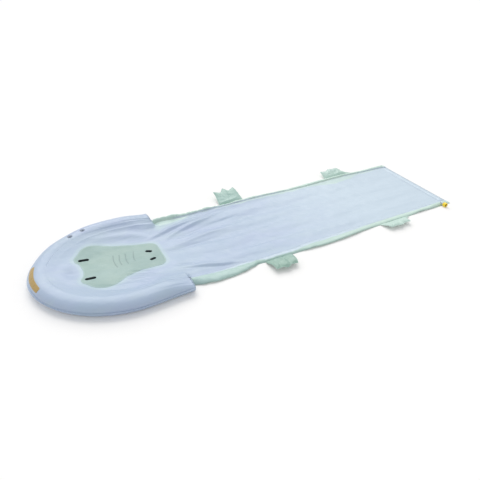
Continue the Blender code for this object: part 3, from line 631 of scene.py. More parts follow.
GOLD_PRINT = print_material("gold_print", (172, 144, 84), (184, 152, 76), roughness=0.30)
CLEAR_VINYL = moulded_material("clear_vinyl", (184, 196, 206), (196, 206, 214), roughness=0.24, coat=0.3)
PLUG_GREY = moulded_material("plug_grey_vinyl", (118, 130, 152), (132, 143, 163), roughness=0.38)
VALVE_GREY = moulded_material("valve_grey_vinyl", (102, 114, 138), (116, 128, 150), roughness=0.36)
YELLOW_PLASTIC = moulded_material("yellow_plastic", (250, 220, 44), (242, 208, 46), roughness=0.36, coat=0.15)
BLACK_RUBBER = moulded_material("black_rubber", (26, 26, 28), (40, 40, 42), roughness=0.62)
# Each foot's lit or shaded copy of the film, as painted light and shade
FOOT_FILMS = {"front_foot_right": FRONT_FOOT_PAINTED_LIGHT_FILM, "front_foot_left": NEAR_FOOT_PAINTED_SHADE_FILM,
              "rear_foot_right": REAR_FOOT_PAINTED_LIGHT_FILM, "rear_foot_left": REAR_FOOT_PAINTED_LIGHT_FILM}


# The bumper's path and sections

def nose_curve(turns):
    """Stations (x, y, outward x, outward y) of the tube's middle around the nose's right half."""
    depth = NOSE_DEPTH - TUBE_HALF - WELD_WIDTH
    along = np.clip(np.cos(turns), 0.0, 1.0) ** (2 / NOSE_ROUNDNESS)
    across = np.sin(turns) ** (2 / NOSE_ROUNDNESS)
    power = NOSE_ROUNDNESS - 1
    out_x = -along ** power / depth
    out_y = across ** power / TUBE_APART
    size = np.hypot(out_x, out_y)
    return np.stack([from_nose(NOSE_DEPTH) - depth * along, TUBE_APART * across, out_x / size, out_y / size],
                    axis=-1)


def bumper_path(nose_steps, arm_steps):
    """Stations around the tube's middle, from the left arm's end over the nose to the right arm's end."""
    nose = nose_curve(np.radians(np.linspace(0.0, 90.0, nose_steps + 1)))
    shares = np.arange(1, arm_steps + 1) / arm_steps
    widest = from_nose(NOSE_DEPTH)
    slope = -ARM_INSET * 6 * shares * (1 - shares) / (ARM_END - widest)
    size = np.hypot(slope, 1.0)
    arm = np.stack([mix(widest, ARM_END, shares), TUBE_APART - ARM_INSET * smooth(shares),
                    -slope / size, 1 / size], axis=1)
    right = np.concatenate([nose, arm])
    left = right[:0:-1] * np.array([1.0, -1.0, 1.0, -1.0])
    return np.concatenate([left, right])


def distances_along(path):
    """Distance of each station from the nose's tip, below 0 on the left side."""
    steps = np.hypot(np.diff(path[:, 0]), np.diff(path[:, 1]))
    total = np.concatenate([[0.0], np.cumsum(steps)])
    return total - total[-1] / 2


FINE_PATH = bumper_path(150, 56)
FINE_DISTANCE = distances_along(FINE_PATH)


def crest_share(x):
    """Share of the upper skin's rise over its seam, which eases down towards the arms' ends."""
    return mix(1.0, ARM_END_SHARE, smooth(1 - (ARM_END - x) / ARM_EASE))


def end_slump(x):
    """The soft film sinks a little just before an arm's end."""
    return 1 - SLUMP_SHARE * (1 - np.clip((ARM_END - x) / SLUMP_LENGTH, 0.0, 1.0)) ** 2


def place_on_path(path, out, height):
    """Points (stations, columns, 3) from places across the tube and heights."""
    x = path[:, 0:1] + path[:, 2:3] * out
    y = path[:, 1:2] + path[:, 3:4] * out
    return np.stack([x, y, np.broadcast_to(height, x.shape)], axis=2)


# Folds along the arms towards their ends: turn around the tube, drift away from the end, depth and width
ARM_FOLD_REACH = 0.33
ARM_FOLDS = ((1.95, 0.10, 0.0050, 0.070), (2.28, -0.16, 0.0036, 0.055),
             (1.62, 0.20, 0.0022, 0.050), (1.10, 0.15, 0.0020, 0.060))
PINCH_REACH = 0.05
LINER_TURN = 2.29


def upper_relief(distance, turn, x):
    """How far the upper skin stands out of its smooth form: puckers at the welds, folds at the arms' ends."""
    arc = UPPER_ARC * turn / (math.pi / 2)
    relief = 0.0012 * seam_puckers(distance, arc, pitch=0.021, reach=0.016, seed=3)
    relief = relief + 0.0020 * seam_puckers(distance, 2 * UPPER_ARC - arc, pitch=0.026, reach=0.020, seed=5)
    relief = relief + 0.0008 * ripples(distance, arc, length=0.18, seed=11)
    relief = relief - 0.0004 * crumple(distance, arc * 1.5, length=0.14, seed=17) * np.sin(turn)
    near_end = smooth(1 - (ARM_END - x) / ARM_FOLD_REACH)
    for number, (place, drift, deep, wide) in enumerate(ARM_FOLDS):
        wander = 0.04 * ripples(distance, 0 * arc, length=0.2, seed=30 + number)
        middle = place + drift * (1 - near_end) + wander
        relief = relief - deep * near_end * np.exp(-((turn - middle) / wide) ** 2)
    # Smooth where the slide sheet leaves the skin
    relief = relief * (1 - (1 - near_end) * np.exp(-((turn - LINER_TURN) / 0.25) ** 2))
    pinch = smooth(1 - (ARM_END - x) / PINCH_REACH)
    pleats = np.cos(turn * 15 + 2.0 * ripples(distance, arc, length=0.09, seed=41))
    return relief + 0.0013 * pinch * pleats * np.sin(turn)


def build_upper_film():
    """The skin over the tube with its fin at both welds, and the valves' holes."""
    path = FINE_PATH
    distance = FINE_DISTANCE[:, None]
    x = path[:, 0:1]
    share = crest_share(x)
    turn = math.pi * np.arange(45)[None, :] / 44
    relief = upper_relief(distance, turn, x)
    out = (TUBE_HALF + relief) * np.cos(turn)
    height = UPPER_SEAM + ((TUBE_HEIGHT - UPPER_SEAM) * share * end_slump(x) + relief) * np.sin(turn)
    arch = place_on_path(path, out, height)
    wave = 0.0009 * ripples(distance, 0 * distance, length=0.05, seed=51)
    borders = []
    for side in (1, -1):
        steps = np.array([1.0, 0.55, 0.12]) * WELD_WIDTH + TUBE_HALF
        rise = np.clip(wave, 0.0, 0.002) * np.array([1.0, 0.6, 0.1]) if side > 0 else 0.0 * wave
        edge = place_on_path(path, side * steps[None, :], UPPER_SEAM + rise)
        borders.append(edge if side > 0 else edge[:, ::-1])
    points = np.concatenate([borders[0], arch, borders[1]], axis=1)
    mesh = grid_mesh("bumper_upper_film", points)
    film = add_piece("bumper_upper_film", mesh, BLUE_FILM, "mat")
    give_film(film, BUMPER_FILM)
    bore_through(film, [(valve_place(angle)[0], (0, 0, 1), STEM_RADIUS + STEM_CLEARANCE, 0.02)
                        for angle in VALVE_ANGLES])
    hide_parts("bumper_upper_skin")


def build_lower_film():
    """The skin under the tube, which rests flat on the ground in the middle."""
    path = bumper_path(120, 40)
    distance = distances_along(path)[:, None]
    quarter = math.pi / 2 * np.arange(13)[None, :] / 12
    arc = LOWER_ARC * quarter / (math.pi / 2)
    pucker = 0.0018 * seam_puckers(distance, arc, pitch=0.021, reach=0.022, seed=61)
    pucker = pucker + 0.0006 * ripples(distance, arc, length=0.12, seed=63)
    side_out = mix(FOOTPRINT / 2, TUBE_HALF + pucker, np.cos(quarter))
    height = np.broadcast_to(LOWER_SEAM * (1 - np.sin(quarter)), side_out.shape)
    fin = np.array([[WELD_WIDTH + TUBE_HALF, 0.5 * WELD_WIDTH + TUBE_HALF]])
    halves = []
    for side in (1, -1):
        out = np.concatenate([np.broadcast_to(fin, (len(path), 2)), side_out], axis=1)
        tall = np.concatenate([np.full((len(path), 2), LOWER_SEAM), height], axis=1)
        half = place_on_path(path, side * out, tall)
        halves.append(half if side > 0 else half[:, ::-1])
    points = np.concatenate(halves, axis=1)
    mesh = tidy_mesh(grid_mesh("bumper_lower_film", points, flip=True))
    film = add_piece("bumper_lower_film", mesh, BLUE_FILM, "mat")
    give_film(film, BUMPER_FILM)
    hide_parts("bumper_lower_skin")


def build_arm_end(side, word):
    """The domed panel that closes an arm, gathered into small pleats around its weld."""
    path = bumper_path(40, 20)[-1]
    share = crest_share(ARM_END)
    turns = math.pi * np.arange(41) / 40
    rise = (TUBE_HEIGHT - UPPER_SEAM) * share * end_slump(ARM_END)
    over = np.stack([TUBE_HALF * np.cos(turns), UPPER_SEAM + rise * np.sin(turns)], axis=1)
    quarter = math.pi / 2 * np.arange(1, 13) / 12
    inner = np.stack([-mix(FOOTPRINT / 2, TUBE_HALF, np.cos(quarter)), LOWER_SEAM * (1 - np.sin(quarter))],
                     axis=1)
    outer = inner[::-1] * np.array([-1.0, 1.0])
    outline = np.concatenate([over, inner, outer])
    middle = np.array([0.0, TUBE_HEIGHT * share / 2])
    around = np.arctan2(outline[:, 1] - middle[1], outline[:, 0])
    rows = []
    for ring in np.linspace(0.99, 0.0, 17):
        pleat = 0.0016 * np.cos(17 * around + 3 * np.cos(3 * around)) * ring ** 3 * (1 - ring ** 12)
        x = ARM_END + GAP + ARM_END_BULGE * (1 - ring ** 2.2) + pleat
        flat = middle + (outline - middle) * ring
        rows.append(np.stack([x, side * (path[1] + flat[:, 0]), flat[:, 1]], axis=1))
    mesh = grid_mesh("arm_end_" + word, np.array(rows), flip=side < 0, around=True)
    panel = add_piece("arm_end_film_" + word, tidy_mesh(mesh), BLUE_FILM, "mat")
    give_film(panel, BUMPER_FILM, outwards=True)
    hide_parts("arm_end_panel_" + word)


# Films of the runway and the pool

def outer_half(x):
    share = smooth((x - from_nose(TAPER_START)) / (TAPER_END - TAPER_START))
    return mix(SHOULDER_WIDTH, HIP_WIDTH, share) / 2


def sheet_half(x):
    return outer_half(x) - WELD_WIDTH - CHANNEL_WIDTH


def edge_height(x):
    """Underside of the slide sheet's edge: on the bumper's seam, then down to the ground sheet."""
    behind = mix(LIFT_HEIGHT, SHEET_ON_GROUND, smooth((x - CHANNEL_START) / LIFT_LENGTH))
    return mix(SHEET_ON_SEAM, behind, smooth((x - ARM_END) / (CHANNEL_START - ARM_END)))


def sheet_stations(nose_steps, arm_steps, runway_steps):
    """Rows along X of (weld x, weld y, edge x, edge y) on the right side of the slide sheet."""
    weld = TUBE_HALF + WELD_WIDTH
    path = bumper_path(nose_steps, arm_steps)[nose_steps + arm_steps:]
    behind = path[-1].copy()
    behind[0] = BEHIND_ARMS
    path = np.vstack([path, behind])
    rows = [(x - out_x * weld, y - out_y * weld, x - out_x * LINER_LEAVES, y - out_y * LINER_LEAVES)
            for x, y, out_x, out_y in path]
    for x in [*np.linspace(TIGHT_START, FLAT_REAR, runway_steps), (FLAT_REAR + REAR) / 2, REAR]:
        half = float(sheet_half(x))
        rows.append((x, half - WELD_WIDTH, x, half - 0.001))
    return np.array(rows)


NOSE_ROWS = 110
ARM_ROWS = 40
ROWS_ON_BUMPER = NOSE_ROWS + ARM_ROWS + 1
SHEET_ROWS = sheet_stations(NOSE_ROWS, ARM_ROWS, 240)


def weld_half(x):
    """Half the width between the slide sheet's welds at a place along X."""
    return np.interp(x, SHEET_ROWS[:, 0], SHEET_ROWS[:, 1])


def fold_relief(x, y):
    """Height of the long folds, each fading at its ends."""
    total = np.zeros_like(x)
    for height, width, places in FOLDS:
        route = np.array([(from_nose(along), across) for along, across in places])
        lengths = np.hypot(*np.diff(route, axis=0).T)
        whole = lengths.sum()
        nearest = np.full_like(x, 9.0)
        reached = np.zeros_like(x)
        done = 0.0
        for start, end, length in zip(route[:-1], route[1:], lengths):
            away, share = to_segment(x, y, start, end)
            closer = away < nearest
            reached = np.where(closer, (done + share * length) / whole, reached)
            nearest = np.where(closer, away, nearest)
            done += length
        fade = np.sin(math.pi * (0.04 + 0.92 * reached)) ** 0.7
        total += FOLD_STRENGTH * height * fade * np.exp(-(nearest / width) ** 2)
    return total


def liner_rise(x, away):
    """How far the slide sheet stands over its seam, at a distance from where it leaves the tube."""
    shoulder = (TUBE_HEIGHT - UPPER_SEAM) * math.sqrt(1 - (LINER_LEAVES / TUBE_HALF) ** 2)
    fade = smooth((ARM_END + DISH_END - x) / DISH_FADE)
    narrowing = smooth((x - from_nose(NARROWING_START)) / NARROWING_LENGTH)
    reach = mix(LINER_REACH, LINER_NARROWING * LINER_REACH, narrowing)
    shoulder = shoulder * crest_share(np.minimum(x, ARM_END)) * end_slump(np.minimum(x, ARM_END))
    return shoulder * fade * np.exp(-away / reach)


def away_from_seam(x, y):
    """Distance in plan from a place inside the pool to the bumper's inner seam."""
    nearest = np.full(np.shape(x), 9.0)
    line = SHEET_ROWS[:ROWS_ON_BUMPER, :2]
    for start, end in zip(line[:-1], line[1:]):
        nearest = np.minimum(nearest, to_segment(x, np.abs(y), start, end)[0])
    return nearest


def dish_height(x, y):
    return liner_rise(x, away_from_seam(x, y) + TUBE_HALF + WELD_WIDTH - LINER_LEAVES)


def far_lift(x, y):
    """The slide sheet rises towards its far channel."""
    share = np.clip(y / np.maximum(sheet_half(np.maximum(x, ARM_END)) - WELD_WIDTH, 0.001), 0.0, 1.0)
    return eased(np.maximum(x, from_nose(FAR_LIFT_START)), FAR_EDGE_LIFT) * share ** 4


def runway_edge(x, word):
    """Underside of the slide sheet at its border behind the arms."""
    half = sheet_half(x) - WELD_WIDTH
    return edge_height(x) + dish_height(x, half) + far_lift(x, half if word == "right" else -half)


def calm_half(x):
    """Half the width between the welds, eased over their step at the arms' ends."""
    start = ARM_END - STEP_BEFORE_ARM_END
    end = start + STEP_LENGTH
    eased_half = mix(weld_half(start), weld_half(end), smooth((x - start) / STEP_LENGTH))
    return np.where((x > start) & (x < end), eased_half, weld_half(x))


def floor_height(x, y):
    """Underside of the slide sheet: the pool's dish, the runway's furrows, the folds and fine creases."""
    share = np.clip(np.abs(y) / np.maximum(weld_half(x), 0.001), 0.0, 1.0)
    calm = np.clip(np.abs(y) / np.maximum(calm_half(x), 0.001), 0.0, 1.0)
    calm_weld = np.clip(weld_half(x) / np.maximum(calm_half(x), 0.001), 0.0, 1.0)
    front = from_nose(0.0) + 2 * (TUBE_HALF + WELD_WIDTH)
    down = np.clip((x - front) / FLOOR_SLOPE_LENGTH, 0.0, 1.0)
    middle = mix(SHEET_ON_SEAM, SHEET_ON_GROUND, 1 - (1 - down) ** 1.1)
    rise = smooth((x - from_nose(FURROW_START)) / (FURROW_PEAK - FURROW_START))
    fall = mix(1.0, FURROW_FADE, smooth((x - from_nose(FURROW_PEAK)) / (MAT_LENGTH - FURROW_PEAK)))
    flat_rear = smooth((FLAT_REAR - x) / FURROW_PITCH)
    inside = 1 - share ** 8
    wander = 0.010 * ripples(x, 0 * y, length=0.9, seed=71) * inside
    wave = (1 - np.cos(2 * math.pi * (y + wander) / FURROW_PITCH)) / 2 * inside
    border = mix(SHEET_ON_SEAM, SHEET_ON_GROUND, smooth((x - ARM_END + 0.20) / 0.60))
    base = mix(middle, border, calm ** 3)
    base = base + (edge_height(x) - mix(middle, border, calm_weld ** 3)) * smooth((share - 0.84) / 0.16)
    base = base + dish_height(x, y) + far_lift(x, y)
    furrow = FURROW_HEIGHT * rise * fall * flat_rear * wave
    loose = smooth((x - from_nose(0.16)) / 0.10) * flat_rear * inside
    lengthwise = 0.0008 * ripples(x * 0.16, y, length=0.085, seed=73) * rise
    crinkle = 0.0003 * crumple(x * 0.5, y, length=0.16, seed=77)
    crinkle = crinkle + 0.0006 * ripples(x, y, length=0.13, seed=79)
    relief = (fold_relief(x, y) + lengthwise + crinkle) * loose
    room = base + furrow - SHEET_ON_GROUND
    low = -room * np.tanh(-np.minimum(relief, 0.0) / (room + 0.0001))
    return base + furrow + np.maximum(relief, 0.0) + low


def distance_to(outline, x, y):
    """Distance of each place to a closed outline, and whether it lies inside."""
    nearest = np.full(x.shape, 9.0)
    inside = np.zeros(x.shape, dtype=bool)
    for start, end in zip(outline, np.roll(outline, -1, axis=0)):
        step = end - start
        nearest = np.minimum(nearest, to_segment(x, y, start, end)[0])
        if abs(step[1]) > 1e-12:
            crossing = (start[1] > y) != (end[1] > y)
            inside ^= crossing & (x < step[0] * (y - start[1]) / step[1] + start[0])
    return nearest, inside


def softened(outline, times=3):
    """A closed outline with its corners cut, again and again."""
    for _ in range(times):
        following = np.roll(outline, -1, axis=0)
        first = outline * 0.75 + following * 0.25
        second = outline * 0.25 + following * 0.75
        outline = np.stack([first, second], axis=1).reshape(-1, 2)
    return outline


def head_outline():
    """The crocodile head seen from above, with two eye bumps, cheeks and a broad snout."""
    bump = EYE_BUMP_SPACING / 2
    points = [(EYE_NOTCH_DEPTH, 0.0), (EYE_NOTCH_DEPTH * 0.8, bump * 0.45)]
    for step in range(5):
        turn = math.pi * (0.15 + 0.75 * step / 4)
        points.append((EYE_NOTCH_DEPTH * (1 - math.sin(turn)), bump * (1.05 - 0.42 * math.cos(turn))))
    points += [(HEAD_LENGTH * 0.11, CHEEK_WIDTH * 0.445), (HEAD_LENGTH * 0.20, CHEEK_WIDTH / 2),
               (HEAD_LENGTH * 0.29, CHEEK_WIDTH * 0.490), (HEAD_LENGTH * 0.39, CHEEK_WIDTH * 0.445),
               (HEAD_LENGTH * 0.48, mix(CHEEK_WIDTH, SNOUT_WIDTH, 0.62) / 2),
               (HEAD_LENGTH * 0.60, mix(CHEEK_WIDTH, SNOUT_WIDTH, 0.82) / 2),
               (HEAD_LENGTH * 0.74, SNOUT_WIDTH / 2)]
    corner = SNOUT_TIP_WIDTH * 0.20
    for step in range(5):
        turn = math.pi / 2 * step / 4
        points.append((HEAD_LENGTH - corner * (1 - math.sin(turn)),
                       SNOUT_TIP_WIDTH / 2 - corner * (1 - math.cos(turn))))
    points.append((HEAD_LENGTH, 0.0))
    right = np.array(points)
    left = right[-2:0:-1] * np.array([1.0, -1.0])
    outline = np.concatenate([right, left])
    # The film is a little narrower at the snout, and on the near side behind the cheek
    snout = smooth((outline[:, 0] - 0.27) / 0.22)
    near_side = smooth((outline[:, 0] - 0.17) / 0.10) * (1 - 0.6 * smooth((outline[:, 0] - 0.34) / 0.16))
    outline[:, 1] *= np.where(outline[:, 1] > 0, 1 - 0.10 * snout, 1 - 0.17 * near_side)
    outline[:, 0] += from_nose(HEAD_START) - 0.016 * snout
    return softened(outline)


HEAD_OUTLINE = head_outline()


def painted_sheen_share(x):
    """How much paler the films are painted towards the hose end: painted sheen, for the brighter reflection
    there.
    """
    return smooth((x - from_nose(1.25)) / 1.25)


def sheet_borders(rows, word):
    """From its edge to its weld: up the tube's inner flank at the bumper, flat on the runway."""
    share = np.linspace(1.0, 0.0, 8)[None, :-1]
    x = mix(rows[:, 0:1], rows[:, 2:3], share)
    y = mix(rows[:, 1:2], rows[:, 3:4], share)
    away = (1 - share) * (TUBE_HALF + WELD_WIDTH - LINER_LEAVES)
    on_tube = SHEET_ON_SEAM + liner_rise(rows[:, 0:1], away) - EDGE_SINK * np.exp(-away / EDGE_SINK_REACH)
    behind = np.arange(len(rows))[:, None] - ROWS_ON_BUMPER
    weld_y = rows[:, 1:2] if word == "right" else -rows[:, 1:2]
    on_runway = edge_height(rows[:, 0:1]) + dish_height(rows[:, 0:1], weld_y) + far_lift(rows[:, 0:1], weld_y)
    z = np.where(behind < 0, on_tube, on_runway + np.where(behind == 0, LIFT_AT_ARM_END, 0.0) * share)
    return np.stack([x, y, z], axis=2)


def build_slide_sheet():
    """The film that one slides on: bordered by its welds, printed round the head and painted paler to the
    rear for its sheen.
    """
    columns = 54
    rows = SHEET_ROWS
    share = np.concatenate([-np.arange(columns, 0, -1), np.arange(0, columns + 1)]) / columns
    share = np.sign(share) * (1 - (1 - np.abs(share)) ** 1.15)
    x = np.broadcast_to(rows[:, 0:1], (len(rows), len(share))).copy()
    y = rows[:, 1:2] * share[None, :]
    z = floor_height(x, y)
    inner = np.stack([x, y, z], axis=2)
    right_edge = sheet_borders(rows, "right")
    left_edge = sheet_borders(rows, "left")[:, ::-1] * np.array([1.0, -1.0, 1.0])
    points = np.concatenate([right_edge, inner[:, ::-1], left_edge], axis=1)
    mesh = grid_mesh("slide_sheet_film", points)
    flat_x = points[:, :, 0].ravel()
    flat_y = points[:, :, 1].ravel()
    away, inside = distance_to(HEAD_OUTLINE, flat_x, flat_y)
    halo = np.where(inside, 1.0, 1 - smooth((away - 0.010) / 0.022)) * 0.6
    along = flat_x - from_nose(0.0)
    # The halo layer also paints a paler patch on the far side of the runway, just behind the arms
    corner = smooth((flat_y - 0.21 - 0.30 * (along - 0.87)) / 0.07) * smooth((1.20 - along) / 0.20)
    paint(mesh, "halo", halo + 0.9 * corner * smooth((along - 0.84) / 0.05))
    # Painted sheen: paler towards the hose end, where the film reflects more light
    paint(mesh, "fade_and_painted_light", painted_sheen_share(flat_x))
    green = eased(flat_x, GREEN_EDGE) + 0.006 * ripples(flat_x, 0 * flat_x, length=0.12, seed=301)
    behind_arms = smooth((flat_x - ARM_END) / 0.03)
    paint(mesh, "green_edge", 0.65 * behind_arms * smooth((flat_y - weld_half(flat_x) + green) / 0.014))
    film = add_piece("slide_sheet_film", tidy_mesh(mesh, distance=0.000005), BLUE_FILM, "mat")
    # Even walls would spike at the slivers of the nose's tip
    give_film(film, SHEET_FILM, outwards=True).use_even_offset = False
    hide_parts("slide_sheet")


def build_ground_sheet():
    """The film on the ground, its front edge tucked against the bumper's underside."""
    path = bumper_path(70, 24)[70 + 24:]
    front = [(x - out_x * GROUND_TUCK, y - out_y * GROUND_TUCK) for x, y, out_x, out_y in path]
    places = np.linspace(TIGHT_START, REAR, 200)
    right, left = (np.array(front + [(x, float(border_place(x, word))) for x in places])
                   for word in ("right", "left"))
    half = np.array([0.0, 0.15, 0.30, 0.45, 0.60, 0.75, 0.85, 0.90, 0.94, 0.97, 1.0])
    shares = np.concatenate([-half[:0:-1], half])[None, :]
    x = np.broadcast_to(right[:, 0:1], (len(right), shares.size))
    y = np.where(shares > 0, right[:, 1:2], left[:, 1:2]) * shares
    lift = np.where(x >= TIGHT_START, eased(np.maximum(x, TIGHT_START), NEAR_BORDER_LIFT), 0.0)
    z = lift * smooth((-shares - 0.90) / 0.10)
    points = np.stack([x, y, z], axis=2)
    mesh = tidy_mesh(grid_mesh("ground_sheet_film", points, flip=True), distance=0.000005)
    film = add_piece("ground_sheet_film", mesh, GROUND_FILM, "mat")
    give_film(film, SHEET_FILM, outwards=True)
    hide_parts("ground_sheet")


# Spray channels

SPRAY_AT = from_nose(SPRAY_START + SPRAY_PITCH * np.arange(SPRAY_COUNT))
SPRAY_SHARE = 0.26


def border_place(x, word):
    """Distance of a channel's outer border from the middle line."""
    return outer_half(x) + eased(x, BORDER_WANDER[word])


def border_height(x, word):
    """Height of a channel's outer border; the filled film draws the near one a little off the ground."""
    return SHEET_ON_GROUND + (eased(x, NEAR_BORDER_LIFT) if word == "left" else 0.0)


def channel_crown(x, word):
    """How high a channel stands: open at once behind the arms, low and tapered at the rear."""
    opening = np.minimum(2.2 * (x - TIGHT_START) + 0.022, REAR - x) / CHANNEL_TAPER
    ease = smooth((x - from_nose(CHANNEL_EASE_START)) / (MAT_LENGTH - CHANNEL_EASE_START))
    full = mix(CHANNEL_HEIGHT, CHANNEL_REAR_HEIGHT, ease) * eased(x, CHANNEL_FULLNESS[word])
    return mix(0.003, full, smooth(opening))


def channel_arch(x, share, word):
    """Place (y, z) over a channel at a share of the way from its inner to its outer foot."""
    inner = runway_edge(x, word) + SHEET_FILM + GAP
    across = (1 - np.cos(math.pi * share)) / 2
    rise = (channel_crown(x, word) - SHEET_ON_GROUND) * np.sin(math.pi * share)
    width = border_place(x, word) - WELD_WIDTH - sheet_half(x)
    return sheet_half(x) + width * across, mix(inner, border_height(x, word), across) + rise


def channel_relief(x, share, word, seed):
    """Creases across a channel: long from both welds, calm where it is low and around the spray holes."""
    across = share * CREASE_SPAN + 0 * x
    along = x + 0 * share
    relief = 0.0080 * seam_puckers(along, across, pitch=0.042, reach=0.045, seed=seed)
    relief = relief + 0.0060 * seam_puckers(along, CREASE_SPAN - across, pitch=0.034, reach=0.035,
                                            seed=seed + 3)
    relief = relief + 0.0030 * ripples(along, across * 0.5, length=0.095, seed=seed + 5)
    relief = relief + 0.0014 * (crumple(along, across * 1.2, length=0.070, seed=seed + 9) - 0.4)
    for place in SPRAY_AT:
        relief = relief * (1 - np.exp(-((along - place) / 0.012) ** 2))
    full = smooth(np.minimum(x - TIGHT_START + 0.02, REAR - x) / 0.06)
    shrink = 1 - 0.45 * smooth((x - from_nose(CHANNEL_EASE_START)) / 0.5)
    pull = 0.7 + 0.3 * smooth(1 - np.abs(x - from_nose(1.30)) / 0.55)
    room = np.clip(channel_crown(x, word) / 0.020, 0.15, 1.0)
    return relief * full * shrink * pull * room * np.sin(math.pi * share) ** 0.7


def build_channel(side, word):
    """Puffed film with creases across it, welded flat on both borders, with real spray holes."""
    x = np.concatenate([np.linspace(TIGHT_START, TIGHT_START + CHANNEL_TAPER, 22),
                        np.linspace(TIGHT_START + CHANNEL_TAPER, REAR - CHANNEL_TAPER, 470)[1:],
                        np.linspace(REAR - CHANNEL_TAPER, REAR, 18)[1:]])[:, None]
    share = np.linspace(0.0, 1.0, 19)[None, :]
    y, z = channel_arch(x, share, word)
    seed = 90 if side > 0 else 120
    relief = channel_relief(x, share, word, seed)
    slope_y = np.gradient(y, axis=1)
    slope_z = np.gradient(z, axis=1)
    size = np.hypot(slope_y, slope_z) + 1e-9
    y = y - relief * slope_z / size
    z = np.maximum(z + relief * slope_y / size, border_height(x, word))
    frill = 0.0016 * ripples(x, 0 * x, length=0.07, seed=seed + 13)
    outer = np.stack([x, border_place(x, word) + np.minimum(frill, 0.0), border_height(x, word) + 0 * x],
                     axis=2)
    welded = np.stack([x, sheet_half(x) - WELD_WIDTH, z[:, :1]], axis=2)
    arch = np.stack([x + 0 * share, y, z], axis=2)
    points = np.concatenate([welded, arch, outer], axis=1) * np.array([1.0, side, 1.0])
    mesh = grid_mesh("channel_film_" + word, points, flip=side > 0)
    along = points[:, :, 0]
    # Painted light: paler towards the hose end for the sheen there; the far channel, whose flank faces away
    # from the lamp, is painted pale all along against its shade
    paint(mesh, "fade_and_painted_light", painted_sheen_share(along) if side < 0 else 0.85 + 0.15 * painted_sheen_share(along))
    shares = np.concatenate([0 * x, share + 0 * x, 0 * x + 1], axis=1)
    limit = eased(along, BLUE_BORDER[word]) + 0.05 * ripples(along, 0 * shares, length=0.12, seed=seed + 15)
    paint(mesh, "blue_border", 1 - smooth((shares - limit + 0.08) / 0.16))
    film = add_piece("channel_film_" + word, mesh, CHANNEL_FILM, "mat")
    give_film(film, SHEET_FILM, outwards=True)
    drills = [(place, outward, SPRAY_HOLE_RADIUS, 0.006) for place, outward in spray_places(side, word)]
    if side < 0:
        # The hose's sleeve goes into the near channel
        x, y, z = coupling_place()
        centre = (x, y + TURNING_CLEARANCE + COLLAR_LENGTH + GAP + SLEEVE_LENGTH / 2, z)
        drills.append((centre, (0, 1, 0), BARB_RADIUS + 2 * GAP + SLEEVE_WALL, SLEEVE_LENGTH / 2))
    bore_through(film, drills)
    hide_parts("spray_channel_" + word)


def spray_places(side, word):
    """Each spray hole's place and outward direction on the inner flank of a channel."""
    result = []
    for x in SPRAY_AT:
        y, z = channel_arch(x, SPRAY_SHARE, word)
        before = channel_arch(x, SPRAY_SHARE - 0.05, word)
        after = channel_arch(x, SPRAY_SHARE + 0.05, word)
        outward = Vector((0.0, side * float(before[1] - after[1]), float(after[0] - before[0]))).normalized()
        result.append(((float(x), side * float(y), float(z)), tuple(outward)))
    return result


def build_feed_channel():
    """The low tunnel across the rear edge, gathered into small pleats."""
    reach = float(sheet_half(REAR)) - 2 * WELD_WIDTH
    rear = REAR - FEED_INSET
    base = SHEET_ON_GROUND + SHEET_FILM + GAP
    y = np.linspace(-reach, reach, 150)[:, None]
    share = np.linspace(0.0, 1.0, 15)[None, :]
    turn = math.pi * share
    ends = smooth((reach - np.abs(y)) / 0.03)
    pleats = 1 + 0.35 * seam_puckers(y + 0 * share, 0.02 * np.sin(turn), pitch=0.018, reach=0.03, seed=151)
    pleats = pleats + 0.10 * ripples(y, share * 0.05, length=0.05, seed=153)
    x = rear - WELD_WIDTH - FEED_WIDTH * (1 - np.cos(turn)) / 2 + 0 * y
    z = base + 0.75 * FEED_HEIGHT * np.sin(turn) ** 2 * pleats * ends
    arch = np.stack([x, y + 0 * share, z], axis=2)
    first = np.stack([np.full_like(y, rear), y, np.full_like(y, base)], axis=2)
    last = np.stack([x[:, -1:] - WELD_WIDTH, y, np.full_like(y, base)], axis=2)
    points = np.concatenate([first, arch, last], axis=1)
    mesh = grid_mesh("feed_channel_film", points, flip=True)
    # Painted sheen: the feed channel at the hose end takes the full pale tint
    paint(mesh, "fade_and_painted_light", np.ones(len(mesh.vertices)))
    film = add_piece("feed_channel_film", mesh, BLUE_FILM, "mat")
    give_film(film, SHEET_FILM, outwards=True)
    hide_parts("rear_feed_channel")


# Crocodile head and its print

def build_head_panel():
    """Film trimmed to the head's outline, with a pale welded border and a slight puff inside it."""
    outline = HEAD_OUTLINE
    spine_x = np.clip(outline[:, 0], from_nose(HEAD_START + 0.10), from_nose(HEAD_START + HEAD_LENGTH - 0.07))
    spine = np.stack([spine_x, np.zeros(len(outline))], axis=1)
    rows = []
    borders = []
    for ring in np.concatenate([[1.0, 0.985, 0.97, 0.95], np.linspace(0.92, 0.0, 34)]):
        x, y = (spine + (outline - spine) * ring).T
        away, _ = distance_to(outline, x, y)
        puff = 0.0008 * smooth((away - 0.006) / 0.012) + 0.0005 * ripples(x, y, length=0.09, seed=161)
        puff = puff * smooth(away / 0.008)
        rows.append(np.stack([x, y, floor_height(x, y) + SHEET_FILM + GAP + puff], axis=1))
        borders.append(1 - smooth((away - 0.005) / 0.004))
    mesh = grid_mesh("head_panel_film", np.array(rows), around=True)
    paint(mesh, "border", np.array(borders))
    panel = add_piece("head_panel_film", mesh, HEAD_FILM, "mat")
    tidy_mesh(mesh, distance=0.00001)
    face_up(mesh)
    give_film(panel, SHEET_FILM, outwards=True)
    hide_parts("croc_head_panel")
    return panel


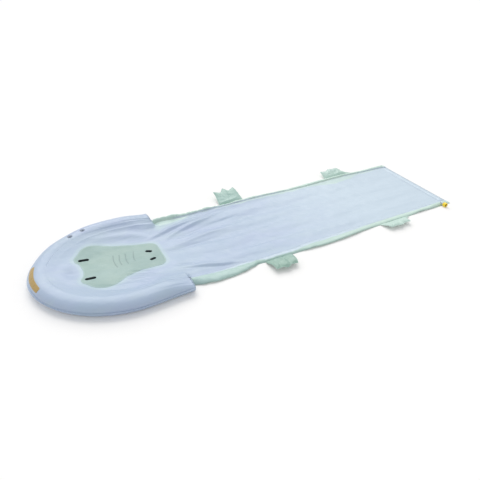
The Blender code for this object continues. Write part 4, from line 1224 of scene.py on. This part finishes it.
def top_of(piece):
    """A function that gives the height of a finished piece's upper face over places in plan."""
    tree = BVHTree.FromObject(piece, bpy.context.evaluated_depsgraph_get())

    def height(x, y):
        hits = [tree.ray_cast(Vector((px, py, 0.2)), Vector((0.0, 0.0, -1.0)))[0] for px, py in zip(x, y)]
        return np.array([hit.z for hit in hits])

    return height


def stroke_mesh(name, places, width, surface):
    """A rounded stroke of print that lies on a surface, through places (from the nose, across)."""
    route = np.array([(from_nose(along), across) for along, across in places])
    steps = np.hypot(*np.diff(route, axis=0).T)
    total = np.concatenate([[0.0], np.cumsum(steps)])
    count = max(int(total[-1] / 0.003), 8)
    at = np.linspace(0.0, total[-1], count)
    x = np.interp(at, total, route[:, 0])
    y = np.interp(at, total, route[:, 1])
    side_x = -np.gradient(y)
    side_y = np.gradient(x)
    size = np.hypot(side_x, side_y)
    end = np.minimum(at, total[-1] - at)
    half = width / 2 * np.sqrt(np.clip(1 - (1 - np.clip(end / (width / 2), 0.02, 1.0)) ** 2, 0.04, 1.0))
    rows = []
    for share in np.linspace(-1.0, 1.0, 9):
        px = x + side_x / size * half * share
        py = y + side_y / size * half * share
        crown = 0.0001 * (1 - share ** 2)
        rows.append(np.stack([px, py, surface(px, py) + PRINT_LIFT + crown], axis=1))
    mesh = grid_mesh(name, np.array(rows))
    face_up(mesh)
    return mesh


def build_head_print(panel):
    """Two eye slits, two nostrils and four wrinkle lines across the snout."""
    surface = top_of(panel)
    marks = (("eye_right", EYE_WIDTH, ((0.308, 0.100), (0.373, 0.099))),
             ("eye_left", EYE_WIDTH, ((0.308, -0.100), (0.373, -0.098))),
             ("nostril_right", NOSTRIL_WIDTH, ((0.718, 0.049), (0.758, 0.030))),
             ("nostril_left", NOSTRIL_WIDTH, ((0.718, -0.054), (0.758, -0.043))))
    for name, width, places in marks:
        add_print(name, stroke_mesh(name, places, width, surface), BLACK_PRINT)
    wrinkles = (((0.519, 0.088), (0.513, 0.060), (0.508, 0.030), (0.507, 0.0), (0.510, -0.030),
                 (0.516, -0.050)),
                ((0.555, 0.078), (0.549, 0.050), (0.543, 0.022), (0.541, -0.008), (0.544, -0.035)),
                ((0.594, 0.076), (0.588, 0.048), (0.583, 0.020), (0.581, -0.010), (0.584, -0.038)),
                ((0.648, 0.080), (0.640, 0.052), (0.633, 0.026), (0.629, 0.0), (0.631, -0.022)))
    for number, places in enumerate(wrinkles, start=1):
        name = f"wrinkle_{number}"
        add_print(name, stroke_mesh(name, places, WRINKLE_WIDTH, surface), GREY_PRINT)


def build_nose_stripe():
    """A plain satin band printed on the outer shoulder of the nose."""
    banded = np.abs(FINE_DISTANCE) <= STRIPE_HALF
    chosen = FINE_PATH[banded]
    along = FINE_DISTANCE[banded][:, None]
    narrowing = 6.0 * (np.abs(along) / STRIPE_HALF) ** 12
    across = np.linspace(0.0, 1.0, 17)[None, :]
    turn = np.radians(mix(28.0 + narrowing, 64.0 - narrowing, across))
    relief = upper_relief(along, turn, chosen[:, 0:1]) + 0.0003
    out = (TUBE_HALF + relief) * np.cos(turn)
    height = UPPER_SEAM + (TUBE_HEIGHT - UPPER_SEAM + relief) * np.sin(turn)
    points = place_on_path(chosen, out, height)
    add_print("nose_stripe", grid_mesh("nose_stripe", points), GOLD_PRINT)


# Crocodile feet

# Creases of each foot: height, width, then (along the mat, outwards) of the start and of the end
CLAW_CREASES = ((-0.0025, 0.007, (-0.055, 0.095), (-0.035, 0.040)),
                (-0.0025, 0.007, (0.020, 0.095), (0.020, 0.040)))
FOOT_CREASES = {
    "front_foot_right": ((-0.0030, 0.007, (-0.055, 0.130), (-0.035, 0.060)),
                         (-0.0030, 0.007, (0.020, 0.130), (0.012, 0.055)),
                         (0.0030, 0.010, (-0.07, 0.02), (0.05, 0.035))),
    "front_foot_left": ((0.0070, 0.012, (-0.005, 0.03), (-0.015, 0.16)),
                        (-0.0050, 0.012, (0.022, 0.03), (0.010, 0.15)),
                        (-0.0030, 0.008, (-0.050, 0.05), (-0.060, 0.14)),
                        (0.0040, 0.012, (0.06, 0.04), (0.05, 0.14))),
    "rear_foot_right": (*CLAW_CREASES, (0.0030, 0.012, (0.03, 0.03), (0.14, 0.03))),
    "rear_foot_left": (*CLAW_CREASES, (0.0030, 0.012, (0.05, 0.035), (0.15, 0.03))),
}

# The weld around a foot, the puff inside it and both films together at the weld
FOOT_WELD = 0.0045
FOOT_PUFF = 0.0085
FOOT_FILM = 0.0012

# How each foot lies: how far its claws hang, then its reach as a share of the cut film's, how shallow the
# notches on both sides of its middle claw look, and how far its claws lean along the mat
FOOT_DROOP = {"front_foot_right": 0.004, "front_foot_left": 0.026, "rear_foot_right": 0.004,
              "rear_foot_left": 0.010}
FOOT_LOOKS = {
    "front_foot_right": (1.0, 0.0, 0.0, 0.0),
    "front_foot_left": (0.86, 0.75, 0.70, -0.012),
    "rear_foot_right": (0.86, 0.35, 0.90, 0.0),
    "rear_foot_left": (0.84, 0.90, 0.45, 0.026),
}
FOOT_SEEDS = {"front_foot_right": 281, "front_foot_left": 295, "rear_foot_right": 272, "rear_foot_left": 286}


def foot_outline(size, name):
    """A foot seen from above, as (along the mat, outwards), with three claws and a lobe behind it."""
    reach, first_blunt, second_blunt, lean = FOOT_LOOKS[name]
    length, root, palm, thigh = (size[word] for word in ("length", "root", "palm", "thigh"))
    claws = length * (1 - CLAW_SHARE)
    nose_side = []
    rear_side = []
    for step in range(4):
        share = step / 4
        nose_side.append((-mix(root, palm, float(smooth(share))) / 2, claws * share))
        swell = (root / 2 + thigh) * (1 - share) + palm / 2 * share - 0.25 * thigh * math.sin(math.pi * share)
        rear_side.append((swell, claws * share))
    half = palm / 2
    tips = [(-half * 1.02, length * 0.90), (-half * 0.42, mix(claws * 1.02, length * 0.93, first_blunt)),
            (-half * 0.05, length), (half * 0.36, mix(claws * 1.04, length * 0.93, second_blunt)),
            (half * 0.90, length * 0.92), (half, claws)]
    outline = np.array(nose_side + [(-half, claws)] + tips + list(reversed(rear_side)))
    outline[:, 0] = outline[:, 0] * (1 - 0.16 * max(first_blunt, second_blunt) * outline[:, 1] / length)
    outline[:, 0] += lean * outline[:, 1] / length
    outline[:, 1] *= reach
    return outline


def with_more_points(outline, pitch):
    """The outline with points added so that none lie further apart than the pitch."""
    result = []
    for start, end in zip(outline, np.roll(outline, -1, axis=0)):
        count = max(int(np.hypot(*(end - start)) / pitch), 1)
        result += [mix(start, end, step / count) for step in range(count)]
    return np.array(result)


def foot_points(name, size):
    """Both films of a foot lying flat, as rings of points (along the mat, outwards, up)."""
    outline = with_more_points(softened(with_more_points(foot_outline(size, name), 0.014), 2), 0.0035)
    centre = np.array([0.25 * size["thigh"], size["length"] * 0.42])
    seed = FOOT_SEEDS[name]
    top = []
    bottom = []
    for ring in np.concatenate([[1.0, 0.99, 0.975, 0.955, 0.93], np.linspace(0.90, 0.0, 26)]):
        along, out = (centre + (outline - centre) * ring).T
        away, _ = distance_to(outline, along, out)
        inner = np.clip((away - FOOT_WELD) / 0.026, 0.0, 1.0)
        puff = FOOT_PUFF * np.sqrt(1 - (1 - inner) ** 2)
        pucker = seam_puckers(along + out, away, pitch=0.013, reach=0.012, seed=seed)
        relief = 0.0007 * pucker + 0.0010 * ripples(along, out, length=0.10, seed=seed + 2)
        for height, width, start, end in FOOT_CREASES[name]:
            off, _ = to_segment(along, out, np.array(start), np.array(end))
            relief = relief + height * np.exp(-(off / width) ** 2)
        relief = relief * smooth(away / 0.012)
        curl = 0.0008 * ripples(along, out, length=0.045, seed=seed + 4) * smooth(out / 0.03)
        bend = FOOT_DROOP[name] * smooth((out / size["length"] - 0.35) / 0.65) ** 1.5
        low = curl - bend
        top.append(np.stack([along, out, low + FOOT_FILM + np.maximum(puff + relief, 0.0)], axis=1))
        bottom.append(np.stack([along, out, low], axis=1))
    return np.array(top[::-1] + bottom)


def build_foot(name, size, side):
    """A soft flap of two films, welded flat around its edge and puffed inside."""
    points = foot_points(name, size)
    tilt = math.radians(FOOT_TILT)
    middle = from_nose(FEET_AT[name])
    root_y = float(outer_half(middle)) - 0.002
    root_z = SHEET_ON_GROUND + SHEET_FILM + GAP
    out = points[:, :, 1].copy()
    rise = points[:, :, 2].copy()
    points[:, :, 0] += middle
    points[:, :, 1] = side * (root_y + out * math.cos(tilt) - rise * math.sin(tilt))
    points[:, :, 2] = np.maximum(root_z + out * math.sin(tilt) + rise * math.cos(tilt), 0.0004)
    mesh = tidy_mesh(grid_mesh(name, points, around=True), distance=0.00001, outwards=True)
    foot = add_piece(name + "_film", mesh, FOOT_FILMS[name], name)
    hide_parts(name)


# Air valves

def valve_place(angle):
    """Point on the crest's middle, and the direction of the path there."""
    x, y, out_x, out_y = nose_curve(math.radians(angle)).tolist()
    return (x, y, TUBE_HEIGHT), math.atan2(-out_x, out_y)


def build_valve(number, angle):
    """A flange welded over the film's hole, and the stem, flap and plug that move in it."""
    place, along = valve_place(angle)
    axis = Matrix.Translation(place) @ Matrix.Rotation(along, 4, "Z")
    hole = STEM_RADIUS + STEM_CLEARANCE
    flange = [(hole, 0.0), (hole, FLANGE_THICKNESS), (FLANGE_RADIUS * 0.62, FLANGE_THICKNESS),
              (FLANGE_RADIUS * 0.66, FLANGE_THICKNESS * 0.6), (FLANGE_RADIUS * 0.90, FLANGE_THICKNESS * 0.6),
              (FLANGE_RADIUS, FLANGE_THICKNESS * 0.5), (FLANGE_RADIUS, 0.0)]
    mesh = turned_mesh("valve_flange", rounded(flange, radius=0.0003))
    crest_radius = TUBE_HALF ** 2 / (TUBE_HEIGHT - UPPER_SEAM)
    for vertex in mesh.vertices:
        vertex.co.z += GAP - vertex.co.y ** 2 / (2 * crest_radius)
    add_hardware(f"valve_flange_{number}", mesh, axis, VALVE_GREY, "mat")
    seat = 2 * GAP + FLANGE_THICKNESS
    top = seat + LIP_THICKNESS
    foot = top - STEM_LENGTH
    stem = [(LIP_RADIUS, top), (LIP_RADIUS, seat), (STEM_RADIUS, seat), (STEM_RADIUS, seat - 0.004),
            (STEM_RADIUS - 0.0003, seat - 0.0045), (STEM_RADIUS - 0.0003, seat - 0.0055),
            (STEM_RADIUS, seat - 0.006), (STEM_RADIUS, foot), (VALVE_BORE, foot), (VALVE_BORE, top)]
    name = f"valve_stem_{number}"
    add_turned(name, stem, 0.0003, axis, CLEAR_VINYL, name)
    build_valve_flap(number, foot - GAP, axis)
    build_valve_plug(number, top + GAP, axis)


SLAB_BEVEL = 0.00015
SHARP_ANGLE = 0.6


def slab_mesh(name, outline, low, high):
    """A flat body between two heights with softened edges."""
    form = bmesh.new()
    base = form.faces.new([form.verts.new((x, y, low)) for x, y in outline])
    walls = bmesh.ops.extrude_face_region(form, geom=[base])
    verts = [item for item in walls["geom"] if isinstance(item, bmesh.types.BMVert)]
    bmesh.ops.translate(form, verts=verts, vec=(0, 0, high - low))
    bmesh.ops.recalc_face_normals(form, faces=form.faces)
    sharp = [edge for edge in form.edges
             if len(edge.link_faces) == 2 and edge.calc_face_angle() > SHARP_ANGLE]
    bmesh.ops.bevel(form, geom=sharp, offset=SLAB_BEVEL, segments=2, affect="EDGES", profile=0.5)
    mesh = bpy.data.meshes.new(name)
    form.to_mesh(mesh)
    form.free()
    return mesh


def build_valve_flap(number, top, axis):
    """The non-return flap under the stem, hinged at its tongue."""
    start = math.asin(STRAP_WIDTH / 2 / FLAP_RADIUS)
    tongue = math.sqrt(STEM_RADIUS ** 2 - (STRAP_WIDTH / 2) ** 2)
    outline = [(tongue, -STRAP_WIDTH / 2), (tongue, STRAP_WIDTH / 2)]
    for step in range(49):
        turn = start + (2 * math.pi - 2 * start) * step / 48
        outline.append((FLAP_RADIUS * math.cos(turn), FLAP_RADIUS * math.sin(turn)))
    name = f"valve_flap_{number}"
    mesh = slab_mesh("valve_flap", outline, top - FLAP_THICKNESS, top)
    add_hardware(name, mesh, axis, CLEAR_VINYL, name)


def build_valve_plug(number, base, axis):
    """The plug's dished lid and conical shank, and the strap that it opens on."""
    root = VALVE_BORE - 0.0004
    top = base + PLUG_THICKNESS
    profile = [(0.0, top - 0.0005), (PLUG_RADIUS * 0.55, top - 0.0005), (PLUG_RADIUS * 0.68, top),
               (PLUG_RADIUS * 0.86, top), (PLUG_RADIUS, base + PLUG_THICKNESS * 0.6), (PLUG_RADIUS, base),
               (root, base), (root, base - 0.0015), (root - 0.0003, base - 0.002),
               (SHANK_TIP_RADIUS, base - SHANK_DEPTH), (0.0, base - SHANK_DEPTH)]
    name = f"valve_plug_{number}"
    add_turned(name, profile, 0.00025, axis, PLUG_GREY, name, closed=False)
    half = STRAP_WIDTH / 2
    waist = half * 0.72
    edge = [(PLUG_RADIUS * 0.72, half), (PLUG_RADIUS, half), (PLUG_RADIUS * 1.12, waist),
            (STRAP_REACH * 0.94, waist), (STRAP_REACH, half)]
    outline = [(x, -y) for x, y in edge] + edge[::-1]
    mesh = slab_mesh("plug_strap", outline, base + GAP / 2, base + GAP / 2 + STRAP_THICKNESS)
    mesh.transform(axis)
    add_piece(f"plug_strap_{number}_finished", mesh, PLUG_GREY, name)


# Hose coupling

SCALLOP_DEPTH = 0.0009
THREAD_PITCH = 0.0022
THREAD_DEPTH = 0.0009
LIP_BACK = NUT_SHOULDER + TURNING_CLEARANCE
SEAL = LIP_BACK + ADAPTER_LIP
COLLAR_BACK = -TURNING_CLEARANCE - COLLAR_LENGTH


def coupling_place():
    """Where the nut's inner face lies on the coupling's axis."""
    x = from_nose(COUPLING_AT)
    return x, -(float(outer_half(x)) + COUPLING_OUTSIDE), NUT_RADIUS + GROUND_CLEARANCE


def build_nut(axis):
    """The swivel nut: finger scallops outside, a thread inside."""
    turns = np.linspace(0.0, 2 * math.pi, 144, endpoint=False)
    dip = np.clip(np.cos(NUT_RIBS * turns), 0.0, 1.0) ** 1.6
    outside = [(NUT_RADIUS - 0.0012, 0.0, 0.2), (NUT_RADIUS - 0.0004, 0.0004, 0.6), (NUT_RADIUS, 0.0012, 1.0),
               (NUT_RADIUS, 0.006, 1.0), (NUT_RADIUS, 0.011, 1.0), (NUT_RADIUS, 0.016, 1.0),
               (NUT_RADIUS, NUT_LENGTH - 0.0012, 1.0), (NUT_RADIUS - 0.0004, NUT_LENGTH - 0.0004, 0.6),
               (NUT_RADIUS - 0.0010, NUT_LENGTH, 0.2)]
    rows = [ring_points(radius - SCALLOP_DEPTH * weight * dip, height, turns)
            for radius, height, weight in outside]
    for height in np.linspace(NUT_LENGTH, NUT_SHOULDER + 0.0002, 60):
        wave = 0.5 + 0.5 * np.cos(2 * math.pi * (height / THREAD_PITCH) - turns)
        inside = smooth((height - NUT_SHOULDER) / 0.003) * smooth((NUT_LENGTH - height) / 0.002)
        rows.append(ring_points(THREAD_RADIUS + 0.0004 - THREAD_DEPTH * wave * inside, height, turns))
    bore = NECK_RADIUS + TURNING_CLEARANCE
    rows += [ring_points(radius, height, turns) for radius, height in
             ((THREAD_RADIUS, NUT_SHOULDER), (bore + 0.0003, NUT_SHOULDER), (bore, NUT_SHOULDER - 0.0003),
              (bore, 0.0003), (bore + 0.0003, 0.0))]
    rows.append(rows[0])
    mesh = tidy_mesh(grid_mesh("coupling_nut", np.array(rows), around=True), outwards=True)
    add_hardware("coupling_nut", mesh, axis, YELLOW_PLASTIC, "coupling_nut")


def build_adapter(axis):
    """The adapter: a lip that holds the nut, a collar, and three barbs for the sleeve."""
    lip = NECK_RADIUS + 0.0018
    barb_end = COLLAR_BACK - BARB_LENGTH
    slim = BARB_RADIUS * 0.88
    profile = [(lip, SEAL), (lip, LIP_BACK), (NECK_RADIUS, LIP_BACK), (NECK_RADIUS, -TURNING_CLEARANCE),
               (COLLAR_RADIUS, -TURNING_CLEARANCE), (COLLAR_RADIUS, COLLAR_BACK), (BARB_RADIUS, COLLAR_BACK)]
    for number in range(3):
        start = mix(COLLAR_BACK, barb_end, 0.25 + 0.25 * number)
        profile += [(BARB_RADIUS, start), (slim, start)]
        profile.append((slim if number == 2 else BARB_RADIUS, start - BARB_LENGTH * 0.25))
    profile += [(WATER_BORE, barb_end), (WATER_BORE, SEAL)]
    add_turned("hose_adapter", profile, 0.0003, axis, YELLOW_PLASTIC, "mat")


def build_washer(axis):
    back = SEAL + GAP
    front = back + WASHER_THICKNESS
    rim = THREAD_RADIUS - GAP - 0.0005
    profile = [(rim, front), (rim, back), (WASHER_BORE, back), (WASHER_BORE, front)]
    add_turned("hose_washer", profile, 0.0005, axis, BLACK_RUBBER, "mat")


def build_sleeve(axis):
    """The soft sleeve over the barbs, with six shallow grooves."""
    inner = BARB_RADIUS + GAP
    outer = inner + SLEEVE_WALL
    start = COLLAR_BACK - GAP
    profile = [(outer, start)]
    for number in range(6):
        low = start - SLEEVE_LENGTH * (number + 1) / 7
        profile += [(outer, low + 0.0008), (outer - 0.0003, low), (outer, low - 0.0008)]
    profile += [(outer, start - SLEEVE_LENGTH), (inner, start - SLEEVE_LENGTH), (inner, start)]
    add_turned("inlet_sleeve", profile, 0.0002, axis, CLEAR_VINYL, "mat")


def build_coupling():
    axis = Matrix.Translation(coupling_place()) @ Matrix.Rotation(math.pi / 2, 4, "X")
    build_nut(axis)
    build_adapter(axis)
    build_washer(axis)
    build_sleeve(axis)


# Repeated details, made by Geometry Nodes

def start_tree(name, number_names):
    """A tree that repeats something on points, with named numbers and a finish as its inputs."""
    tree = bpy.data.node_groups.new(name, "GeometryNodeTree")
    numbers = [(word, "Float") for word in number_names]
    for word, kind in (("Geometry", "Geometry"), *numbers, ("Finish", "Material")):
        tree.interface.new_socket(word, in_out="INPUT", socket_type="NodeSocket" + kind)
    tree.interface.new_socket("Geometry", in_out="OUTPUT", socket_type="NodeSocketGeometry")
    given = add_node(tree, "NodeGroupInput")
    repeat = add_node(tree, "GeometryNodeInstanceOnPoints")
    real = add_node(tree, "GeometryNodeRealizeInstances")
    finish = add_node(tree, "GeometryNodeSetMaterial")
    result = add_node(tree, "NodeGroupOutput")
    join(tree, ((repeat, "Instances", real, "Geometry"),
                (real, "Geometry", finish, "Geometry"),
                (given, "Finish", finish, "Material"),
                (finish, "Geometry", result, "Geometry")))
    return tree, given, repeat


def rib_tree():
    """Small weld ribs along a line of points, each square to the line and lying on its surface."""
    tree, given, repeat = start_tree("weld_ribs", ("Pitch", "Rib width", "Rib length", "Rib height"))
    line = add_node(tree, "GeometryNodeMeshToCurve")
    spread = add_node(tree, "GeometryNodeResampleCurve", mode="LENGTH")
    bead = add_node(tree, "GeometryNodeMeshUVSphere", {"Segments": 6, "Rings": 4, "Radius": 0.5})
    tangent = add_node(tree, "GeometryNodeInputTangent")
    turn = add_node(tree, "FunctionNodeAxesToRotation", {"Secondary Axis": (0.0, 0.0, 1.0)},
                    primary_axis="X", secondary_axis="Z")
    size = add_node(tree, "ShaderNodeCombineXYZ")
    join(tree, ((given, "Geometry", line, "Mesh"),
                (line, "Curve", spread, "Curve"),
                (given, "Pitch", spread, "Length"),
                (spread, "Curve", repeat, "Points"),
                (bead, "Mesh", repeat, "Instance"),
                (tangent, "Tangent", turn, "Primary Axis"),
                (turn, "Rotation", repeat, "Rotation"),
                (given, "Rib width", size, "X"),
                (given, "Rib length", size, "Y"),
                (given, "Rib height", size, "Z"),
                (size, "Vector", repeat, "Scale")))
    return tree


def rim_tree():
    """A small ring at each point, facing the way that the point's own attribute says."""
    tree, given, repeat = start_tree("spray_rims", ("Ring radius", "Rim radius"))
    ring = add_node(tree, "GeometryNodeCurvePrimitiveCircle", {"Resolution": 20})
    rim = add_node(tree, "GeometryNodeCurvePrimitiveCircle", {"Resolution": 8})
    tube = add_node(tree, "GeometryNodeCurveToMesh")
    facing = add_node(tree, "GeometryNodeInputNamedAttribute", {"Name": "facing"}, data_type="FLOAT_VECTOR")
    turn = add_node(tree, "FunctionNodeAlignRotationToVector", axis="Z")
    join(tree, ((given, "Geometry", repeat, "Points"),
                (given, "Ring radius", ring, "Radius"),
                (given, "Rim radius", rim, "Radius"),
                (ring, "Curve", tube, "Curve"),
                (rim, "Curve", tube, "Profile Curve"),
                (tube, "Mesh", repeat, "Instance"),
                (facing, "Attribute", turn, "Vector"),
                (turn, "Rotation", repeat, "Rotation")))
    return tree


def grow(name, tree, start, sizes, finish):
    """Runs a tree on a start mesh with its named sizes, and keeps the result as a plain piece of the mat."""
    seed = new_object(name + "_start", start)
    modifier = seed.modifiers.new(name, "NODES")
    modifier.node_group = tree
    values = {**sizes, "Finish": finish}
    for socket in tree.interface.items_tree:
        if socket.in_out == "INPUT" and socket.name in values:
            modifier[socket.identifier] = values[socket.name]
    mesh = evaluated_mesh(seed)
    bpy.data.objects.remove(seed)
    mesh.name = name
    add_piece(name, mesh, finish, "mat")


def line_mesh(points, kept):
    """A line through points, open wherever the kept list says no."""
    mesh = bpy.data.meshes.new("line")
    edges = [(k, k + 1) for k in range(len(points) - 1) if kept[k] and kept[k + 1]]
    mesh.from_pydata(np.asarray(points).tolist(), edges, [])
    loose = bmesh.new()
    loose.from_mesh(mesh)
    bmesh.ops.delete(loose, geom=[vert for vert in loose.verts if not vert.link_edges], context="VERTS")
    loose.to_mesh(mesh)
    loose.free()
    return mesh


def build_weld_ribs():
    """The fine pressed ribs on the bumper's weld and on the channels' outer borders."""
    tree = rib_tree()
    sizes = {"Pitch": 0.0052, "Rib width": 0.0016, "Rib length": 0.0058, "Rib height": 0.0007}
    fin = place_on_path(FINE_PATH, TUBE_HALF + WELD_WIDTH * 0.58, UPPER_SEAM)[:, 0]
    grow("bumper_weld_ribs", tree, line_mesh(fin, [True] * len(fin)), sizes, WELD_BLUE)
    x = np.linspace(CHANNEL_START + 0.01, REAR - 0.01, 220)
    for side, word in SIDES:
        border = np.stack([x, side * (border_place(x, word) - WELD_WIDTH * 0.42),
                           border_height(x, word) + SHEET_FILM + 0 * x], axis=1)
        # A foot's root lies on the weld
        kept = np.ones(len(x), dtype=bool)
        for foot, size in (("front_foot_", FRONT_FOOT), ("rear_foot_", REAR_FOOT)):
            away = np.abs(x - from_nose(FEET_AT[foot + word]))
            kept &= away > size["root"] / 2 + size["thigh"] + 0.005
        grow("channel_weld_ribs_" + word, tree, line_mesh(border, kept), sizes, WELD_GREEN)


def build_spray_rims():
    """A punched rim around each spray hole."""
    tree = rim_tree()
    sizes = {"Ring radius": SPRAY_HOLE_RADIUS + 0.0005, "Rim radius": 0.00035}
    for side, word in SIDES:
        places = spray_places(side, word)
        points = [tuple(Vector(place) + Vector(outward) * SHEET_FILM) for place, outward in places]
        start = bpy.data.meshes.new("spray_points")
        start.from_pydata(points, [], [])
        layer = start.attributes.new("facing", "FLOAT_VECTOR", "POINT")
        for number, (_, outward) in enumerate(places):
            layer.data[number].vector = outward
        grow("spray_rims_" + word, tree, start, sizes, WELD_GREEN)


# Floor, light and camera; the floor lies just under the films

FLOOR_REACH = 30.0
FLOOR_DROP = 0.0002


def build_floor():
    """A wide pale floor that takes the mat's shadow and glows a little for the camera."""
    mesh = bpy.data.meshes.new("floor")
    corners = [(x * FLOOR_REACH, y * FLOOR_REACH, 0.0) for x, y in ((-1, -1), (1, -1), (1, 1), (-1, 1))]
    mesh.from_pydata(corners, [], [(0, 1, 2, 3)])
    floor = new_object("floor", mesh)
    floor.location.z = -FLOOR_DROP
    finish = bpy.data.materials.new("pale_floor")
    finish.use_nodes = True
    tree = finish.node_tree
    tree.nodes.remove(tree.nodes["Principled BSDF"])
    matt = add_node(tree, "ShaderNodeBsdfDiffuse", {"Color": (0.960, 0.945, 0.925, 1.0)})
    white = add_node(tree, "ShaderNodeEmission", {"Strength": 1.0})
    seen = add_node(tree, "ShaderNodeLightPath")
    share = add_node(tree, "ShaderNodeMath", {1: 0.12}, operation="MULTIPLY")
    both = add_node(tree, "ShaderNodeMixShader")
    join(tree, ((seen, "Is Camera Ray", share, 0), (share, 0, both, 0), (matt, 0, both, 1),
                (white, 0, both, 2), (both, 0, tree.nodes["Material Output"], "Surface")))
    mesh.materials.append(finish)


def build_light():
    """A plain pale sky and one broad soft lamp from the far side, which casts the shadow nearwards."""
    world = bpy.data.worlds.new("studio")
    bpy.context.scene.world = world
    world.use_nodes = True
    tree = world.node_tree
    plain = tree.nodes["Background"]
    plain.inputs["Color"].default_value = (0.965, 0.985, 1.02, 1.0)
    plain.inputs["Strength"].default_value = 0.72
    white = add_node(tree, "ShaderNodeBackground", {"Color": (1, 1, 1, 1), "Strength": 1.0})
    seen = add_node(tree, "ShaderNodeLightPath")
    first = add_node(tree, "ShaderNodeMath", operation="ADD")
    both = add_node(tree, "ShaderNodeMath", operation="ADD", use_clamp=True)
    blend = add_node(tree, "ShaderNodeMixShader")
    join(tree, ((seen, "Is Camera Ray", first, 0), (seen, "Is Glossy Ray", first, 1), (first, 0, both, 0),
                (seen, "Is Transmission Ray", both, 1), (both, 0, blend, 0), (plain, 0, blend, 1),
                (white, 0, blend, 2), (blend, 0, tree.nodes["World Output"], "Surface")))
    data = bpy.data.lights.new("broad_lamp", "SUN")
    data.energy = 1.54
    data.angle = math.radians(56)
    data.color = (1.0, 0.99, 0.975)
    lamp = new_object("broad_lamp", data)
    towards = Vector((-0.18, -0.88, -1.04))
    lamp.rotation_euler = towards.to_track_quat("-Z", "Y").to_euler()


def build_camera():
    data = bpy.data.cameras.new("photo_camera")
    data.lens = 34.585
    data.sensor_width = 36.0
    camera = new_object("photo_camera", data)
    camera.location = (-1.35365, -2.38381, 1.75354)
    camera.rotation_euler = (math.radians(55.8466), 0.0, math.radians(-27.3898))
    bpy.context.scene.camera = camera


def dress_mat():
    build_camera()
    build_floor()
    build_light()
    build_ground_sheet()
    build_slide_sheet()
    build_upper_film()
    build_lower_film()
    build_head_print(build_head_panel())
    build_nose_stripe()
    build_feed_channel()
    for side, word in SIDES:
        build_arm_end(side, word)
        build_channel(side, word)
        build_foot("front_foot_" + word, FRONT_FOOT, side)
        build_foot("rear_foot_" + word, REAR_FOOT, side)
    for number, angle in enumerate(VALVE_ANGLES, start=1):
        build_valve(number, angle)
    build_coupling()
    build_weld_ribs()
    build_spray_rims()
    bpy.context.scene.view_settings.view_transform = "Standard"


dress_mat()
